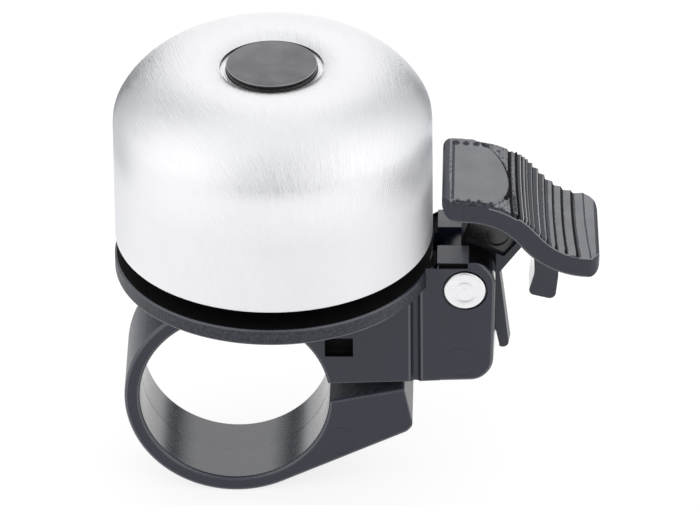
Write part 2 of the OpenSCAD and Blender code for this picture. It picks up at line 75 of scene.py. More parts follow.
# Places taken from the frame
DOME_LOW, DOME_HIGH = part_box("dome")
CAP_LOW, CAP_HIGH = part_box("dome_cap")
PLATE_LOW, PLATE_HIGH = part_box("base_plate")
BRACKET_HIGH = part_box("clamp_bracket")[1]
PIN_LOW, PIN_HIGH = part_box("hinge_pin")
LEVER_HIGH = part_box("thumb_lever")[1]
BELL_X = (DOME_LOW.x + DOME_HIGH.x) / 2
BELL_R = (DOME_HIGH.x - DOME_LOW.x) / 2
PLATE_R = (PLATE_HIGH.x - PLATE_LOW.x) / 2
PIVOT = Vector(next(j["pos_m"] for j in frame["joints"] if j["name"] == "lever_pivot"))
BORE_R = frame["record"]["mounts"][0]["dims"]["r_mm"] * MM

# Distances under which points are one point, and angles under which faces are one face
WELD = 0.002 * MM
CLOSE = 0.03 * MM
FLAT_ANGLE = math.radians(0.2)
SHARP_ANGLE = math.radians(28)


def linear(code):
    """Linear colour of an sRGB hex code."""
    parts = [int(code[i:i + 2], 16) / 255 for i in (0, 2, 4)]
    return tuple(p / 12.92 if p <= 0.04045 else ((p + 0.055) / 1.055) ** 2.4 for p in parts)


def length(label, text, millimetres):
    """Length property with its default in millimetres."""
    return FloatProperty(name=label, description=text, default=millimetres * MM, min=0, unit="LENGTH", precision=5)


def angle(label, text, degrees):
    """Angle property with its default in degrees."""
    return FloatProperty(name=label, description=text, default=math.radians(degrees), subtype="ANGLE")


def colour(label, text, code):
    """Colour property with its default as an sRGB hex code."""
    return FloatVectorProperty(name=label, description=text, default=linear(code), size=3, min=0, max=1,
                               subtype="COLOR")


class BellSizes(bpy.types.PropertyGroup):
    """Sizes of the finished pieces."""

    dome_wall: length("Dome wall", "Thickness of the dome's sheet", 1)
    dome_side: length("Dome side", "Height of the dome's straight side", 15.32)
    shoulder_r: length("Shoulder radius", "Radius at the start of the dome's shoulder", 3.66)
    shoulder_turn: angle("Shoulder turn", "Angle through which the start of the shoulder turns", 26.8)
    crown_r: length("Crown radius", "Radius of the rest of the shoulder", 10.4)
    dish_r: length("Dish radius", "Radius of the crown's inner slope", 6)
    well_d: length("Well diameter", "Diameter of the well at its edge", 12.05)
    well_taper: length("Well taper", "Narrowing of the well towards its floor, on the radius", 0.45)
    well_depth: length("Well depth", "Depth of the well below the crown", 3.8)
    ledge_gap: length("Ledge gap", "Gap between the cap's side and the ledge round it", 0.08)
    well_step: length("Well step", "Height of the straight wall at the well's edge", 0.28)
    well_cone: length("Well cone", "Height of the sloping ledge under it", 0.02)
    ease_r: length("Ease radius", "Radius that leads from the dome's side into its shoulder", 12)
    ease_turn: angle("Ease turn", "Angle through which the lead into the shoulder turns", 6)
    dome_hole: length("Dome hole", "Diameter of the hole in the well's floor", 5.86)
    dome_edge: length("Dome edge", "Radius on the dome's lower edge", 0.3)
    cap_t: length("Cap thickness", "Thickness of the cap's disc", 1.2)
    cap_edge: length("Cap edge", "Radius on the cap's edge", 0.14)
    gate_d: length("Gate diameter", "Diameter of the gate's mark on the cap", 3.4)
    gate_x: length("Gate place", "Place of the gate's mark on the cap", 4.4)
    gate_y: length("Gate offset", "Distance of the gate's mark from the middle", 1.46)
    gate_rise: length("Gate rise", "Height of the gate's mark", 0.015)
    head_d: length("Pin head diameter", "Diameter of the pin's head", 4.9)
    pin_d: length("Pin diameter", "Diameter of the hinge pin", 3)
    pin_head_t: length("Pin head", "Thickness of the pin's head", 0.9)
    pin_edge: length("Pin edge", "Radius on the edge of the pin's head", 0.25)
    outer_edge: length("Outer edge", "Radius on the outer edges of the mouldings", 0.35)
    inner_edge: length("Inner edge", "Radius on the edges of holes and pockets", 0.14)
    plate_edge: length("Plate edge", "Radius on the edges of the base plate", 0.22)
    lever_edge: length("Lever edge", "Radius on the edges of the lever", 0.3)
    step_edge: length("Step edge", "Radius on the edges of the lever's steps", 0.1)
    mark_rise: length("Mark rise", "Height of the ejector pins' marks", 0.03)
    hook_edge: length("Hook edge", "Radius on the edges of the lever's hook", 0.08)
    hook_x: length("Hook place", "Distance of the hook's near side from the pin", 7.95)
    hook_t: length("Hook thickness", "Thickness of the hook", 2.9)
    hook_fill: length("Hook fill", "Fullness of the hook's far side at its tip", 0.14)
    hook_shift: length("Hook shift", "Fullness of the hook's near side at its root", 0.33)
    arm_x: length("Arm side", "Distance from the pin past which the arm's side lies open", 3.6)
    arm_drop: length("Arm foot", "Distance below the pin at which the arm ends", 1)
    hook_w: length("Hook width", "Width of the hook along the pin", 7)
    tongue_w: length("Tongue width", "Width of the spring tongue along the pin", 3.7)
    steel_edge: length("Fastener edge", "Radius on the edges of screws, nuts and washers", 0.15)
    plate_drop: length("Plate drop", "Height of the ears over the base plate's seat", 3.2)
    leg_y: length("Leg place", "Distance of the snap legs from the middle", 3)
    leg_inset: length("Leg inset", "Set-back of the snap legs behind their windows", 1.6)
    window_x: length("Window place", "Place of the snap legs' windows", 12.28)
    window_w: length("Window width", "Width of the snap legs' windows", 3.3)
    groove_x: length("Groove place", "Place of the groove down the bracket's faces", 21.23)
    groove_r: length("Groove radius", "Half of the groove's width", 0.5)
    groove_depth: length("Groove depth", "Depth of the groove", 0.35)
    seam_w: length("Bore seam width", "Half of the width of the mould's seam round the bore", 0.12)
    seam_depth: length("Bore seam depth", "Depth of the mould's seam round the bore", 0.04)
    seam: length("Plate seam", "Gap between the ears and the base plate's rim", 0.04)
    ear_draft: length("Ear draft", "Taper of the ears' right side towards their outer face", 0.26)
    hook_draft: length("Hook draft", "Taper of the hook's near side towards its ends", 0.36)
    tongue_draft: length("Tongue draft", "Taper of the spring tongue's far side towards its ends", 0.2)
    ear_pad_x: length("Ear pad start", "Place where the ears' raised top starts", 23.75)
    ear_pad_end: length("Ear pad end", "Place where the ears' raised top ends", 27.45)
    ear_rise: length("Ear rise", "Height of the ears' tops over the frame's", 0.4)
    ear_step: length("Ear step", "Height of the ears' raised top", 0.8)
    slot_depth: length("Ear slot", "Depth of the slot under the ears' raised top", 0.4)
    bracket_bevel: length("Bracket bevel", "Width of the bracket's bevel, of which each edge takes a share", 0.6)
    arm_y: length("Arm place", "Distance from the middle past which only the pad reaches", 5)
    turns: IntProperty(name="Turned steps", description="Steps round a turned piece", default=192, min=48)


class BellPad(bpy.types.PropertyGroup):
    """Sizes of the lever's pad."""

    width: length("Width", "Width of the pad", 14.6)
    rise: length("Rise", "Height of the pad's nose over the pin", 12.95)
    set_back: length("Set back", "Distance of the pad's nose in front of the pin", 2.56)
    flat_slope: angle("Flat slope", "Slope of the pad's flat", 5)
    flat_len: length("Flat", "Length of the pad's flat", 3.8)
    brow_r: length("Brow radius", "Radius of the pad's brow", 10.3)
    steep_slope: angle("Steep slope", "Steepest slope of the pad", 49)
    steep_len: length("Steep run", "Length of the steepest run", 1.6)
    hollow_r: length("Hollow radius", "Radius of the thumb hollow", 7.3)
    lip_slope: angle("Lip slope", "Rise of the pad's lip", 3)
    lip_len: length("Lip", "Length of the pad's lip", 0.65)
    corner_r: length("Corner radius", "Corner radius of the pad, seen from above", 1.6)
    back_corner_x: length("Back corner length", "Length of the rounder corner at the back of the lip", 1.9)
    back_corner_y: length("Back corner width", "Width of the rounder corner at the back of the lip", 4)
    end_lean: length("End lean", "Lean of the pad's end across its width", 0.35)
    nose_edge: length("Nose edge", "Radius over the pad's nose", 0.55)
    lip_edge: length("Lip edge", "Radius over the pad's lip", 0.4)
    skin_t: length("Skin", "Depth of the pad's worked upper layer", 0.5)
    step_low: length("Lip steps", "Depth of the steps on the lip", 0.24)
    step_high: length("Steep steps", "Depth of the steps on the steepest run", 0.36)
    panel_start: length("Panel start", "Distance of the smooth panel from the nose", 1.2)
    panel_r: length("Panel radius", "Radius of the smooth panel's arch", 10)
    line_w: length("Line width", "Width of the lines round the panel", 0.16)
    line_depth: length("Line depth", "Depth of the lines round the panel", 0.2)


class BellFinish(bpy.types.PropertyGroup):
    """Colours of the finishes."""

    aluminium: colour("Aluminium", "Brushed sheet of the dome", "f7f7f9")
    # Colour of the well's wall: a painted shade
    well: colour("Well aluminium", "Unpolished wall of the dome's well", "4a4a4d")
    rivet: colour("Pin aluminium", "Bright head of the hinge pin", "f0f0f2")
    nylon: colour("Nylon", "Black moulding of the bracket and the lever", "131a2e")
    # Colour of the edges: a painted highlight along the mouldings' edges
    edge_highlight: colour("Painted edge highlight nylon", "Edges of the mouldings, rubbed smooth", "40444f")
    # Grained colour: real grain, paler than the moulding by a painted sheen
    grained: colour("Grained nylon with painted sheen", "Coarser outer faces of the bracket and the base plate", "383b44")
    # Colour of the ears' raised tops: paler by a painted sheen
    painted_sheen: colour("Painted sheen nylon", "Upper faces of the mouldings, rubbed pale", "62646c")
    # Cap side colour: painted shade on the side of the cap and in the lever's arm
    cap_side: colour("Cap side", "Side of the cap", "1b1b1c")
    # Rim colour: a painted highlight on the cap's rim and on the steps' rims
    worn: colour("Painted highlight nylon", "Worn edge of the cap", "aeaeb0")
    # Painted shade on faces deep inside the bell, its windows and slots
    painted_shade: colour("Painted shade nylon", "Faces deep inside the bell and its windows", "101012")
    # Pad colours: treads and panel paler than the moulding by a painted sheen
    tread: colour("Tread nylon", "Textured upper face of the lever's pad", "88898e")
    panel: colour("Panel nylon", "Smooth panel on the lever's pad", "7d7e83")
    # Cap colour: paler than the cap's side by a painted sheen
    cap: colour("Cap nylon", "Satin moulding of the cap", "6a6a6f")
    gate: colour("Gate nylon", "Mark of the gate on the cap", "727277")
    zinc: colour("Zinc plate", "Screws, nut and washers", "b9bcc1")
    rubber: colour("Rubber", "Bush under the dome", "1d1d1e")


class BellStage(bpy.types.PropertyGroup):
    """Camera and light."""

    aim: FloatVectorProperty(name="Aim", description="Point at the middle of the picture", size=3, unit="LENGTH",
                             default=(13.545 * MM, 0, 16.314 * MM))
    distance: length("Distance", "Distance of the camera from its aim", 1084.87)
    azimuth: angle("Azimuth", "Turn of the view to the right of the bar's direction", -1.375)
    elevation: angle("Elevation", "Height of the camera over the horizon", 31.34)
    roll: angle("Roll", "Turn of the camera about its own axis", -0.573)
    lens: FloatProperty(name="Lens", description="Focal length in millimetres on a 36 mm sensor", default=478.4)
    floor_r: length("Floor radius", "Radius of the floor", 900)


def sizes():
    """Sizes of the pieces in this scene."""
    return bpy.context.scene.bell_sizes


def pad():
    """Sizes of the pad in this scene."""
    return bpy.context.scene.bell_pad


def tints():
    """Colours of the finishes in this scene."""
    return bpy.context.scene.bell_finish


# Materials

def add(tree, kind, sockets=None, **settings):
    """Adds a node with its settings, and fills its inputs with values or with links from other nodes."""
    node = tree.nodes.new(kind)
    for name, value in settings.items():
        setattr(node, name, value)
    for key, value in (sockets or {}).items():
        if isinstance(value, bpy.types.NodeSocket):
            tree.links.new(value, node.inputs[key])
        else:
            node.inputs[key].default_value = value
    return node


def new_material(name):
    """Empty node material and its tree."""
    material = bpy.data.materials.new(name)
    material.use_nodes = True
    material.node_tree.nodes.clear()
    return material, material.node_tree


def brushed_aluminium():
    """Aluminium sheet, brushed in straight lines and then drawn into a dome, which carries the lines down its side.
    It gives a soft, nearly white reflection with fine slanted lines where the light falls off."""
    brush_angle = math.radians(-18)
    line_w = 0.17 * MM  # the real lines are under 0.05 mm, drawn coarser so that they show
    line_len = 5 * MM
    cloud_w = 5 * MM
    line_height = 0.065 * MM
    fine, dull = 0.28, 0.39  # roughness in and between the lines
    side_dull = 0.34  # added on the side, which is brushed more coarsely
    side_low, side_high = -14 * MM, -9.5 * MM  # heights from the crown between which that fades out
    material, tree = new_material("Brushed aluminium")
    place = add(tree, "ShaderNodeTexCoord").outputs["Object"]
    crown = add(tree, "ShaderNodeVectorMath", {0: place, 1: (BELL_X, 0, DOME_HIGH.z)}, operation="SUBTRACT")
    parts = add(tree, "ShaderNodeSeparateXYZ", {0: crown.outputs[0]})
    flat = add(tree, "ShaderNodeCombineXYZ", {"X": parts.outputs["X"], "Y": parts.outputs["Y"]})
    radius = add(tree, "ShaderNodeVectorMath", {0: flat.outputs[0]}, operation="LENGTH")
    drawn = add(tree, "ShaderNodeMath", {0: radius.outputs["Value"], 1: parts.outputs["Z"]}, operation="SUBTRACT")
    stretch = add(tree, "ShaderNodeMath", {0: drawn.outputs[0], 1: radius.outputs["Value"]}, operation="DIVIDE")
    sheet = add(tree, "ShaderNodeVectorMath", {0: flat.outputs[0], "Scale": stretch.outputs[0]}, operation="SCALE")
    turned = add(tree, "ShaderNodeMapping", {0: sheet.outputs[0], "Rotation": (0, 0, brush_angle)})
    lines_at = add(tree, "ShaderNodeMapping", {0: turned.outputs[0], "Scale": (1 / line_w, 1 / line_len, 1)})
    lines = add(tree, "ShaderNodeTexNoise", {"Vector": lines_at.outputs[0], "Scale": 1, "Detail": 4,
                                             "Roughness": 0.6})
    cloud = add(tree, "ShaderNodeTexNoise", {"Vector": place, "Scale": 1 / cloud_w, "Detail": 2})
    rough = add(tree, "ShaderNodeMapRange", {"Value": lines.outputs["Fac"], "From Min": 0.3, "From Max": 0.7,
                                             "To Min": fine, "To Max": dull})
    coarse = add(tree, "ShaderNodeMapRange", {"Value": parts.outputs["Z"], "From Min": side_low,
                                              "From Max": side_high, "To Min": side_dull, "To Max": 0})
    rough = add(tree, "ShaderNodeMath", {0: rough.outputs[0], 1: coarse.outputs[0]})
    shade = add(tree, "ShaderNodeMapRange", {"Value": cloud.outputs["Fac"], "To Min": 0.96, "To Max": 1})
    tint = add(tree, "ShaderNodeVectorMath", {0: tuple(tints().aluminium), "Scale": shade.outputs[0]},
               operation="SCALE")
    bump = add(tree, "ShaderNodeBump", {"Height": lines.outputs["Fac"], "Strength": 1, "Distance": line_height})
    shader = add(tree, "ShaderNodeBsdfPrincipled", {
        "Base Color": tint.outputs[0], "Metallic": 1, "Roughness": rough.outputs[0], "Normal": bump.outputs[0]})
    add(tree, "ShaderNodeOutputMaterial", {"Surface": shader.outputs[0]})
    return material


def moulded_nylon(name, shade, roughness, grain, grain_height, gloss_level=0.5, skin=0, uneven=0.1,
                  mottle_w=3 * MM):
    """Nylon from a finely eroded mould: a soft sheen, a mottled colour, and a grain that shows where light grazes
    it."""
    material, tree = new_material(name)
    place = add(tree, "ShaderNodeTexCoord").outputs["Object"]
    grains = add(tree, "ShaderNodeTexNoise", {"Vector": place, "Scale": 1 / grain, "Detail": 2, "Roughness": 0.55})
    mottle = add(tree, "ShaderNodeTexNoise", {"Vector": place, "Scale": 1 / mottle_w, "Detail": 3})
    level = add(tree, "ShaderNodeMapRange", {"Value": mottle.outputs["Fac"], "From Min": 0.3, "From Max": 0.7,
                                             "To Min": 1 - uneven, "To Max": 1 + uneven})
    tint = add(tree, "ShaderNodeVectorMath", {0: tuple(shade), "Scale": level.outputs[0]}, operation="SCALE")
    gloss = add(tree, "ShaderNodeMapRange", {"Value": grains.outputs["Fac"], "From Min": 0.3, "From Max": 0.7,
                                             "To Min": roughness - 0.05, "To Max": roughness + 0.05})
    bump = add(tree, "ShaderNodeBump", {"Height": grains.outputs["Fac"], "Strength": 1, "Distance": grain_height})
    shader = add(tree, "ShaderNodeBsdfPrincipled", {
        "Base Color": tint.outputs[0], "Roughness": gloss.outputs[0], "IOR": 1.53, "Normal": bump.outputs[0],
        "Specular IOR Level": gloss_level, "Coat Weight": skin, "Coat Roughness": roughness, "Coat IOR": 1.6})
    add(tree, "ShaderNodeOutputMaterial", {"Surface": shader.outputs[0]})
    return material


def plated_metal(name, shade, roughness, wear):
    """Small metal part, bright and slightly uneven from plating or from forming."""
    material, tree = new_material(name)
    place = add(tree, "ShaderNodeTexCoord").outputs["Object"]
    worn = add(tree, "ShaderNodeTexNoise", {"Vector": place, "Scale": 1 / wear, "Detail": 4})
    level = add(tree, "ShaderNodeMapRange", {"Value": worn.outputs["Fac"], "From Min": 0.3, "From Max": 0.7,
                                             "To Min": 0.95, "To Max": 1})
    tint = add(tree, "ShaderNodeVectorMath", {0: tuple(shade), "Scale": level.outputs[0]}, operation="SCALE")
    gloss = add(tree, "ShaderNodeMapRange", {"Value": worn.outputs["Fac"], "From Min": 0.3, "From Max": 0.7,
                                             "To Min": roughness + 0.03, "To Max": roughness - 0.03})
    shader = add(tree, "ShaderNodeBsdfPrincipled", {
        "Base Color": tint.outputs[0], "Metallic": 1, "Roughness": gloss.outputs[0]})
    add(tree, "ShaderNodeOutputMaterial", {"Surface": shader.outputs[0]})
    return material


# Nylons, each with its colour, its roughness, the width and height of its grain in millimetres, and what else sets it
# apart
NYLONS = {
    # Fine matte face of the bracket and the lever: an even dark grey with a cool cast
    "Moulded nylon": ("nylon", 0.36, 0.16, 0.004, {"gloss_level": 0.6}),
    # Edges of the mouldings, smoother: a thin paler line round each moulding, a painted highlight
    "Painted edge highlight nylon": ("edge_highlight", 0.25, 0.16, 0.002, {"gloss_level": 0.9}),
    # Coarsely eroded outer faces: a dark and light speckle, drawn coarser than the real one so that it shows; its
    # paler colour is a painted sheen on upward faces and on the flange's side
    "Grained nylon with painted sheen": ("grained", 0.42, 0.3, 0.045, {"gloss_level": 0.35, "uneven": 0.55, "mottle_w": 0.4 * MM}),
    # Raised tops of the ears: flat and pale, a painted sheen
    "Painted sheen nylon": ("painted_sheen", 0.42, 0.24, 0.016, {"gloss_level": 1}),
    # Side of the cap and the lever's hub: painted shade, nearly black, with a soft sheen
    "Dark satin nylon in painted shade": ("cap_side", 0.25, 0.2, 0.002, {"gloss_level": 0.7}),
    # Mark of the gate: a touch paler than the cap round it
    "Gate nylon": ("gate", 0.4, 0.12, 0.004, {}),
    # Rims in a pale grey: a painted highlight
    "Painted highlight nylon": ("worn", 0.4, 0.3, 0.006, {}),
    # Painted shade on faces deep inside, which hardly any light reaches: nearly black
    "Painted shade nylon": ("painted_shade", 0.6, 0.2, 0.004, {"gloss_level": 0.1}),
    # Bore with its mould's polish: dark, with clear reflections
    "Polished nylon": ("nylon", 0.24, 0.3, 0.006, {"gloss_level": 1, "skin": 0.6}),
    # End faces with a mirror polish, which pick up the bright studio
    "Glossy nylon": ("nylon", 0.12, 0.3, 0.002, {"gloss_level": 1, "skin": 1}),
    # Treads and corners of the pad: a dry grey, paler than the moulding by a painted sheen
    "Textured nylon with painted sheen": ("tread", 0.55, 0.2, 0.012, {}),
    # Smooth panel of the pad: an even grey, paler than the moulding by a painted sheen
    "Satin pad nylon with painted sheen": ("panel", 0.42, 0.14, 0.004, {}),
    # Face of the cap: a satin grey with soft clouds, paler than the cap's side by a painted sheen
    "Satin nylon with painted sheen": ("cap", 0.35, 0.12, 0.003, {"uneven": 0.22}),
    # Bush: a dull black
    "Black rubber": ("rubber", 0.7, 0.2, 0.004, {}),
}

# Small metal parts, each with its colour, its roughness and the width of its wear in millimetres
METALS = {
    # Wall of the dome's well: dull, its dark colour a painted shade, with no clear reflection
    "Dull aluminium with painted shade": ("well", 0.5, 0.6),
    # Formed head of the pin: nearly white, and slightly uneven
    "Bright aluminium": ("rivet", 0.3, 0.6),
    # Plating of the screws, nut and washers: a cool bright grey
    "Zinc-plated steel": ("zinc", 0.32, 0.8),
}


def finished(name):
    """The named material, made on its first use."""
    if name in bpy.data.materials:
        return bpy.data.materials[name]
    if name in NYLONS:
        shade, roughness, grain, grain_height, rest = NYLONS[name]
        return moulded_nylon(name, getattr(tints(), shade), roughness, grain * MM, grain_height * MM, **rest)
    if name in METALS:
        shade, roughness, wear = METALS[name]
        return plated_metal(name, getattr(tints(), shade), roughness, wear * MM)
    return brushed_aluminium()


# Modelling

def arc(bm, point, centre, degrees, steps):
    """Sweeps an end point about a centre in X and Z, anticlockwise seen from the front, and gives the new end."""
    swept = bmesh.ops.spin(bm, geom=[point], cent=(centre[0], 0, centre[1]), axis=(0, -1, 0),
                           angle=math.radians(degrees), steps=steps, use_merge=False)
    return next(g for g in swept["geom_last"] if isinstance(g, bmesh.types.BMVert))


def line(bm, point, x, z):
    """Draws a straight edge from an end point to x and z, and gives the new end."""
    end = bmesh.ops.extrude_vert_indiv(bm, verts=[point])["verts"][0]
    end.co = (x, 0, z)
    return end


def turn(bm, centre, axis):
    """Turns the drawn profile fully about an axis and closes it."""
    bmesh.ops.remove_doubles(bm, verts=bm.verts, dist=WELD)
    bmesh.ops.spin(bm, geom=bm.verts[:] + bm.edges[:], cent=centre, axis=axis, angle=math.tau,
                   steps=sizes().turns, use_merge=True)
    bmesh.ops.remove_doubles(bm, verts=bm.verts, dist=WELD)
    bmesh.ops.recalc_face_normals(bm, faces=bm.faces)


def copy_of(node):
    """Merged copy of a node's mesh, with its flat faces whole again."""
    bm = bmesh.new()
    bm.from_mesh(frame["nodes"][node].data)
    bmesh.ops.remove_doubles(bm, verts=bm.verts, dist=WELD)
    bmesh.ops.dissolve_limit(bm, angle_limit=FLAT_ANGLE, verts=bm.verts, edges=bm.edges, delimit=set())
    bmesh.ops.remove_doubles(bm, verts=bm.verts, dist=CLOSE)
    bmesh.ops.dissolve_degenerate(bm, edges=bm.edges, dist=WELD)
    return bm


def cut(bm, chosen, axis, places):
    """Cuts the chosen faces across at places along an axis."""
    normal = Vector((axis == 0, axis == 1, axis == 2))
    for place in places:
        faces = [f for f in bm.faces if chosen(f)]
        edges = {e for f in faces for e in f.edges}
        verts = {v for f in faces for v in f.verts}
        bmesh.ops.bisect_plane(bm, geom=[*verts, *edges, *faces], dist=WELD, plane_co=normal * place,
                               plane_no=normal)


def mould_mark(bm, x, y, z, radius):
    """Fine raised ring that an ejector pin leaves on a front face."""
    wire = 0.05 * MM
    proud = 0.03 * MM
    ring = bmesh.ops.create_circle(bm, segments=16, radius=wire, matrix=Matrix.Translation((radius, 0, 0)))["verts"]
    edges = list({e for v in ring for e in v.link_edges})
    old = set(bm.verts) - set(ring)
    bmesh.ops.spin(bm, geom=[*ring, *edges], cent=(0, 0, 0), axis=(0, 1, 0), angle=math.tau, steps=64,
                   use_merge=True)
    made = [v for v in bm.verts if v not in old]
    bmesh.ops.remove_doubles(bm, verts=made, dist=WELD / 4)
    made = [v for v in bm.verts if v not in old]
    bmesh.ops.translate(bm, verts=made, vec=(x, y + wire - proud, z))
    bmesh.ops.recalc_face_normals(bm, faces=list({f for v in made for f in v.link_faces}))


def smooth_step(low, high, value):
    """Smooth rise from 0 at the low value to 1 at the high one."""
    t = min(max((value - low) / (high - low), 0), 1)
    return t * t * (3 - 2 * t)


def weigh(bm, radius, largest, chosen):
    """Gives the convex sharp edges that are chosen a bevel of a radius, as a share of the largest. Blunt edges get
    less of it."""
    layer = bm.edges.layers.float.get("bevel_weight_edge") or bm.edges.layers.float.new("bevel_weight_edge")
    for edge in bm.edges:
        if len(edge.link_faces) == 2 and edge.is_convex and edge.calc_face_angle() > SHARP_ANGLE and chosen(edge):
            edge[layer] = radius / largest * smooth_step(SHARP_ANGLE / 2, 2 * SHARP_ANGLE, edge.calc_face_angle())


def taper(bm):
    """Lets the bevels change slowly along a line of edges and run out at its ends, so that none runs past its
    faces."""
    layer = bm.edges.layers.float["bevel_weight_edge"]
    lowest, growth, rounds = 0.06, 1.4, 16
    straight = math.radians(125)
    for _ in range(rounds):
        for vert in bm.verts:
            marked = [e for e in vert.link_edges if e[layer] > 0]
            if len(marked) == 1:
                marked[0][layer] = min(marked[0][layer], lowest)
            for one in marked:
                for two in marked:
                    a = one.other_vert(vert).co - vert.co
                    b = two.other_vert(vert).co - vert.co
                    if one is not two and a.angle(b) > straight:
                        one[layer] = min(one[layer], two[layer] * growth)


def piece(name, bm, materials, body, node, bevel=0, edge_material=-1):
    """Object at the origin from a finished mesh, with its materials, its body and the node that it stands for. A
    bevel rounds its weighted edges, which can have a material of their own."""
    mesh = bpy.data.meshes.new(name)
    bm.to_mesh(mesh)
    bm.free()
    mesh.polygons.foreach_set("use_smooth", [True] * len(mesh.polygons))
    mesh.set_sharp_from_angle(angle=SHARP_ANGLE)
    for material in materials:
        mesh.materials.append(finished(material))
    obj = bpy.data.objects.new(name, mesh)
    bpy.context.scene.collection.objects.link(obj)
    if bevel:
        rounded = obj.modifiers.new("Rounded edges", "BEVEL")
        rounded.width = bevel
        rounded.segments = 3
        rounded.limit_method = "WEIGHT"
        rounded.profile = 0.5
        rounded.use_clamp_overlap = False
        rounded.loop_slide = False
        rounded.material = edge_material
        even = obj.modifiers.new("Even shading", "WEIGHTED_NORMAL")
        even.keep_sharp = True
    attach(obj, body)
    if node:
        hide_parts(node)
    return obj


# Finishes that the black mouldings share, and the one on their edges, whose paler colour paints a highlight along
# them
SHARED = ["Moulded nylon", "Painted edge highlight nylon", "Grained nylon with painted sheen"]
EDGE = SHARED.index("Painted edge highlight nylon")


class BELL_OT_dome(bpy.types.Operator):
    """Drawn aluminium dome with a well in its crown"""

    bl_idname = "bell.dome"
    bl_label = "Dome"

    def execute(self, context):
        s = sizes()
        rim = DOME_LOW.z
        edge = s.dome_edge
        outer = BELL_X + BELL_R
        inner = outer - s.dome_wall
        turn_deg = math.degrees(s.shoulder_turn)
        ease_deg = math.degrees(s.ease_turn)
        lead = s.ease_r - s.shoulder_r
        shoulder = (outer - s.shoulder_r - lead * (1 - math.cos(s.ease_turn)), rim + s.dome_side)
        ease = (shoulder[0] - lead * math.cos(s.ease_turn), shoulder[1] - lead * math.sin(s.ease_turn))
        reach = s.crown_r - s.shoulder_r
        crown = (shoulder[0] - reach * math.cos(s.shoulder_turn), shoulder[1] - reach * math.sin(s.shoulder_turn))
        top = crown[1] + s.crown_r
        dish = (crown[0], top - s.dish_r)
        well = BELL_X + s.well_d / 2
        dish_out = math.degrees(math.asin((crown[0] - well) / s.dish_r))
        dish_in = math.degrees(math.asin((crown[0] - well - s.dome_wall) / (s.dish_r - s.dome_wall)))
        dish_z = dish[1] + s.dish_r * math.cos(math.radians(dish_out))
        floor = top - s.well_depth
        floor_x = well - s.well_taper
        hole = BELL_X + s.dome_hole / 2
        bm = bmesh.new()
        p = bm.verts.new((inner + edge, 0, rim))
        p = line(bm, p, outer - edge, rim)
        p = arc(bm, p, (outer - edge, rim + edge), 90, 6)
        p = line(bm, p, outer, ease[1])
        p = arc(bm, p, ease, ease_deg, 8)
        p = arc(bm, p, shoulder, turn_deg - ease_deg, 12)
        p = arc(bm, p, crown, 90 - turn_deg, 32)
        p = arc(bm, p, dish, dish_out, 12)
        ledge_x = CAP_HIGH.x + s.ledge_gap
        p = line(bm, p, well, dish_z - s.well_step)
        p = line(bm, p, ledge_x, dish_z - s.well_step - s.well_cone)
        p = line(bm, p, ledge_x, floor)
        p = line(bm, p, hole, floor)
        p = line(bm, p, hole, floor - s.dome_wall)
        p = line(bm, p, floor_x + s.dome_wall, floor - s.dome_wall)
        end = math.radians(90 + dish_in)
        depth = s.dish_r - s.dome_wall
        p = line(bm, p, dish[0] + depth * math.cos(end), dish[1] + depth * math.sin(end))
        p = arc(bm, p, dish, -dish_in, 12)
        p = arc(bm, p, crown, turn_deg - 90, 32)
        p = arc(bm, p, shoulder, ease_deg - turn_deg, 12)
        p = arc(bm, p, ease, -ease_deg, 8)
        p = line(bm, p, inner, rim + edge)
        arc(bm, p, (inner + edge, rim + edge), 90, 6)
        turn(bm, (BELL_X, 0, 0), (0, 0, 1))
        for face in bm.faces:
            middle = face.calc_center_median()
            out = math.hypot(middle.x - BELL_X, middle.y)
            in_well = abs(out - s.well_d / 2) < CLOSE and middle.z > dish_z - s.well_step
            # The well's upright wall gets the dull aluminium, whose dark colour is a painted shade
            face.material_index = 1 if in_well and abs(face.normal.z) < 0.3 else 0
        piece("dome_shell", bm, ["Brushed aluminium", "Dull aluminium with painted shade"], "base", "dome")
        return {"FINISHED"}


class BELL_OT_cap(bpy.types.Operator):
    """Cap over the dome's screw"""

    bl_idname = "bell.cap"
    bl_label = "Cap"

    FACE, SIDE, RIM = range(3)
    FINISHES = ["Satin nylon with painted sheen", "Dark satin nylon in painted shade", "Painted highlight nylon"]

    def execute(self, context):
        s = sizes()
        edge = s.cap_edge
        outer = BELL_X + (CAP_HIGH.x - CAP_LOW.x) / 2
        top = CAP_HIGH.z
        under = top - s.cap_t
        bm = bmesh.new()
        p = bm.verts.new((BELL_X, 0, under))
        p = line(bm, p, outer - edge, under)
        p = arc(bm, p, (outer - edge, under + edge), 90, 4)
        p = line(bm, p, outer, top - edge)
        p = arc(bm, p, (outer - edge, top - edge), 90, 6)
        line(bm, p, BELL_X, top)
        turn(bm, (BELL_X, 0, 0), (0, 0, 1))
        # The cap's face gets a painted sheen, its rim a painted highlight and its side painted shade
        for face in bm.faces:
            up = face.normal.z
            face.material_index = self.FACE if up > 0.97 else self.RIM if up > 0.7 else self.SIDE
        piece("cap_disc", bm, self.FINISHES, "base", "dome_cap")
        gate = s.gate_d / 2
        bm = bmesh.new()
        p = bm.verts.new((0, 0, -gate / 2))
        p = line(bm, p, gate - s.gate_rise, -gate / 2)
        p = line(bm, p, gate, 0)
        p = line(bm, p, gate - s.gate_rise, s.gate_rise)
        line(bm, p, 0, s.gate_rise)
        turn(bm, (0, 0, 0), (0, 0, 1))
        bmesh.ops.translate(bm, verts=bm.verts, vec=(s.gate_x, s.gate_y, top))
        piece("cap_gate", bm, ["Gate nylon"], "base", None)
        return {"FINISHED"}


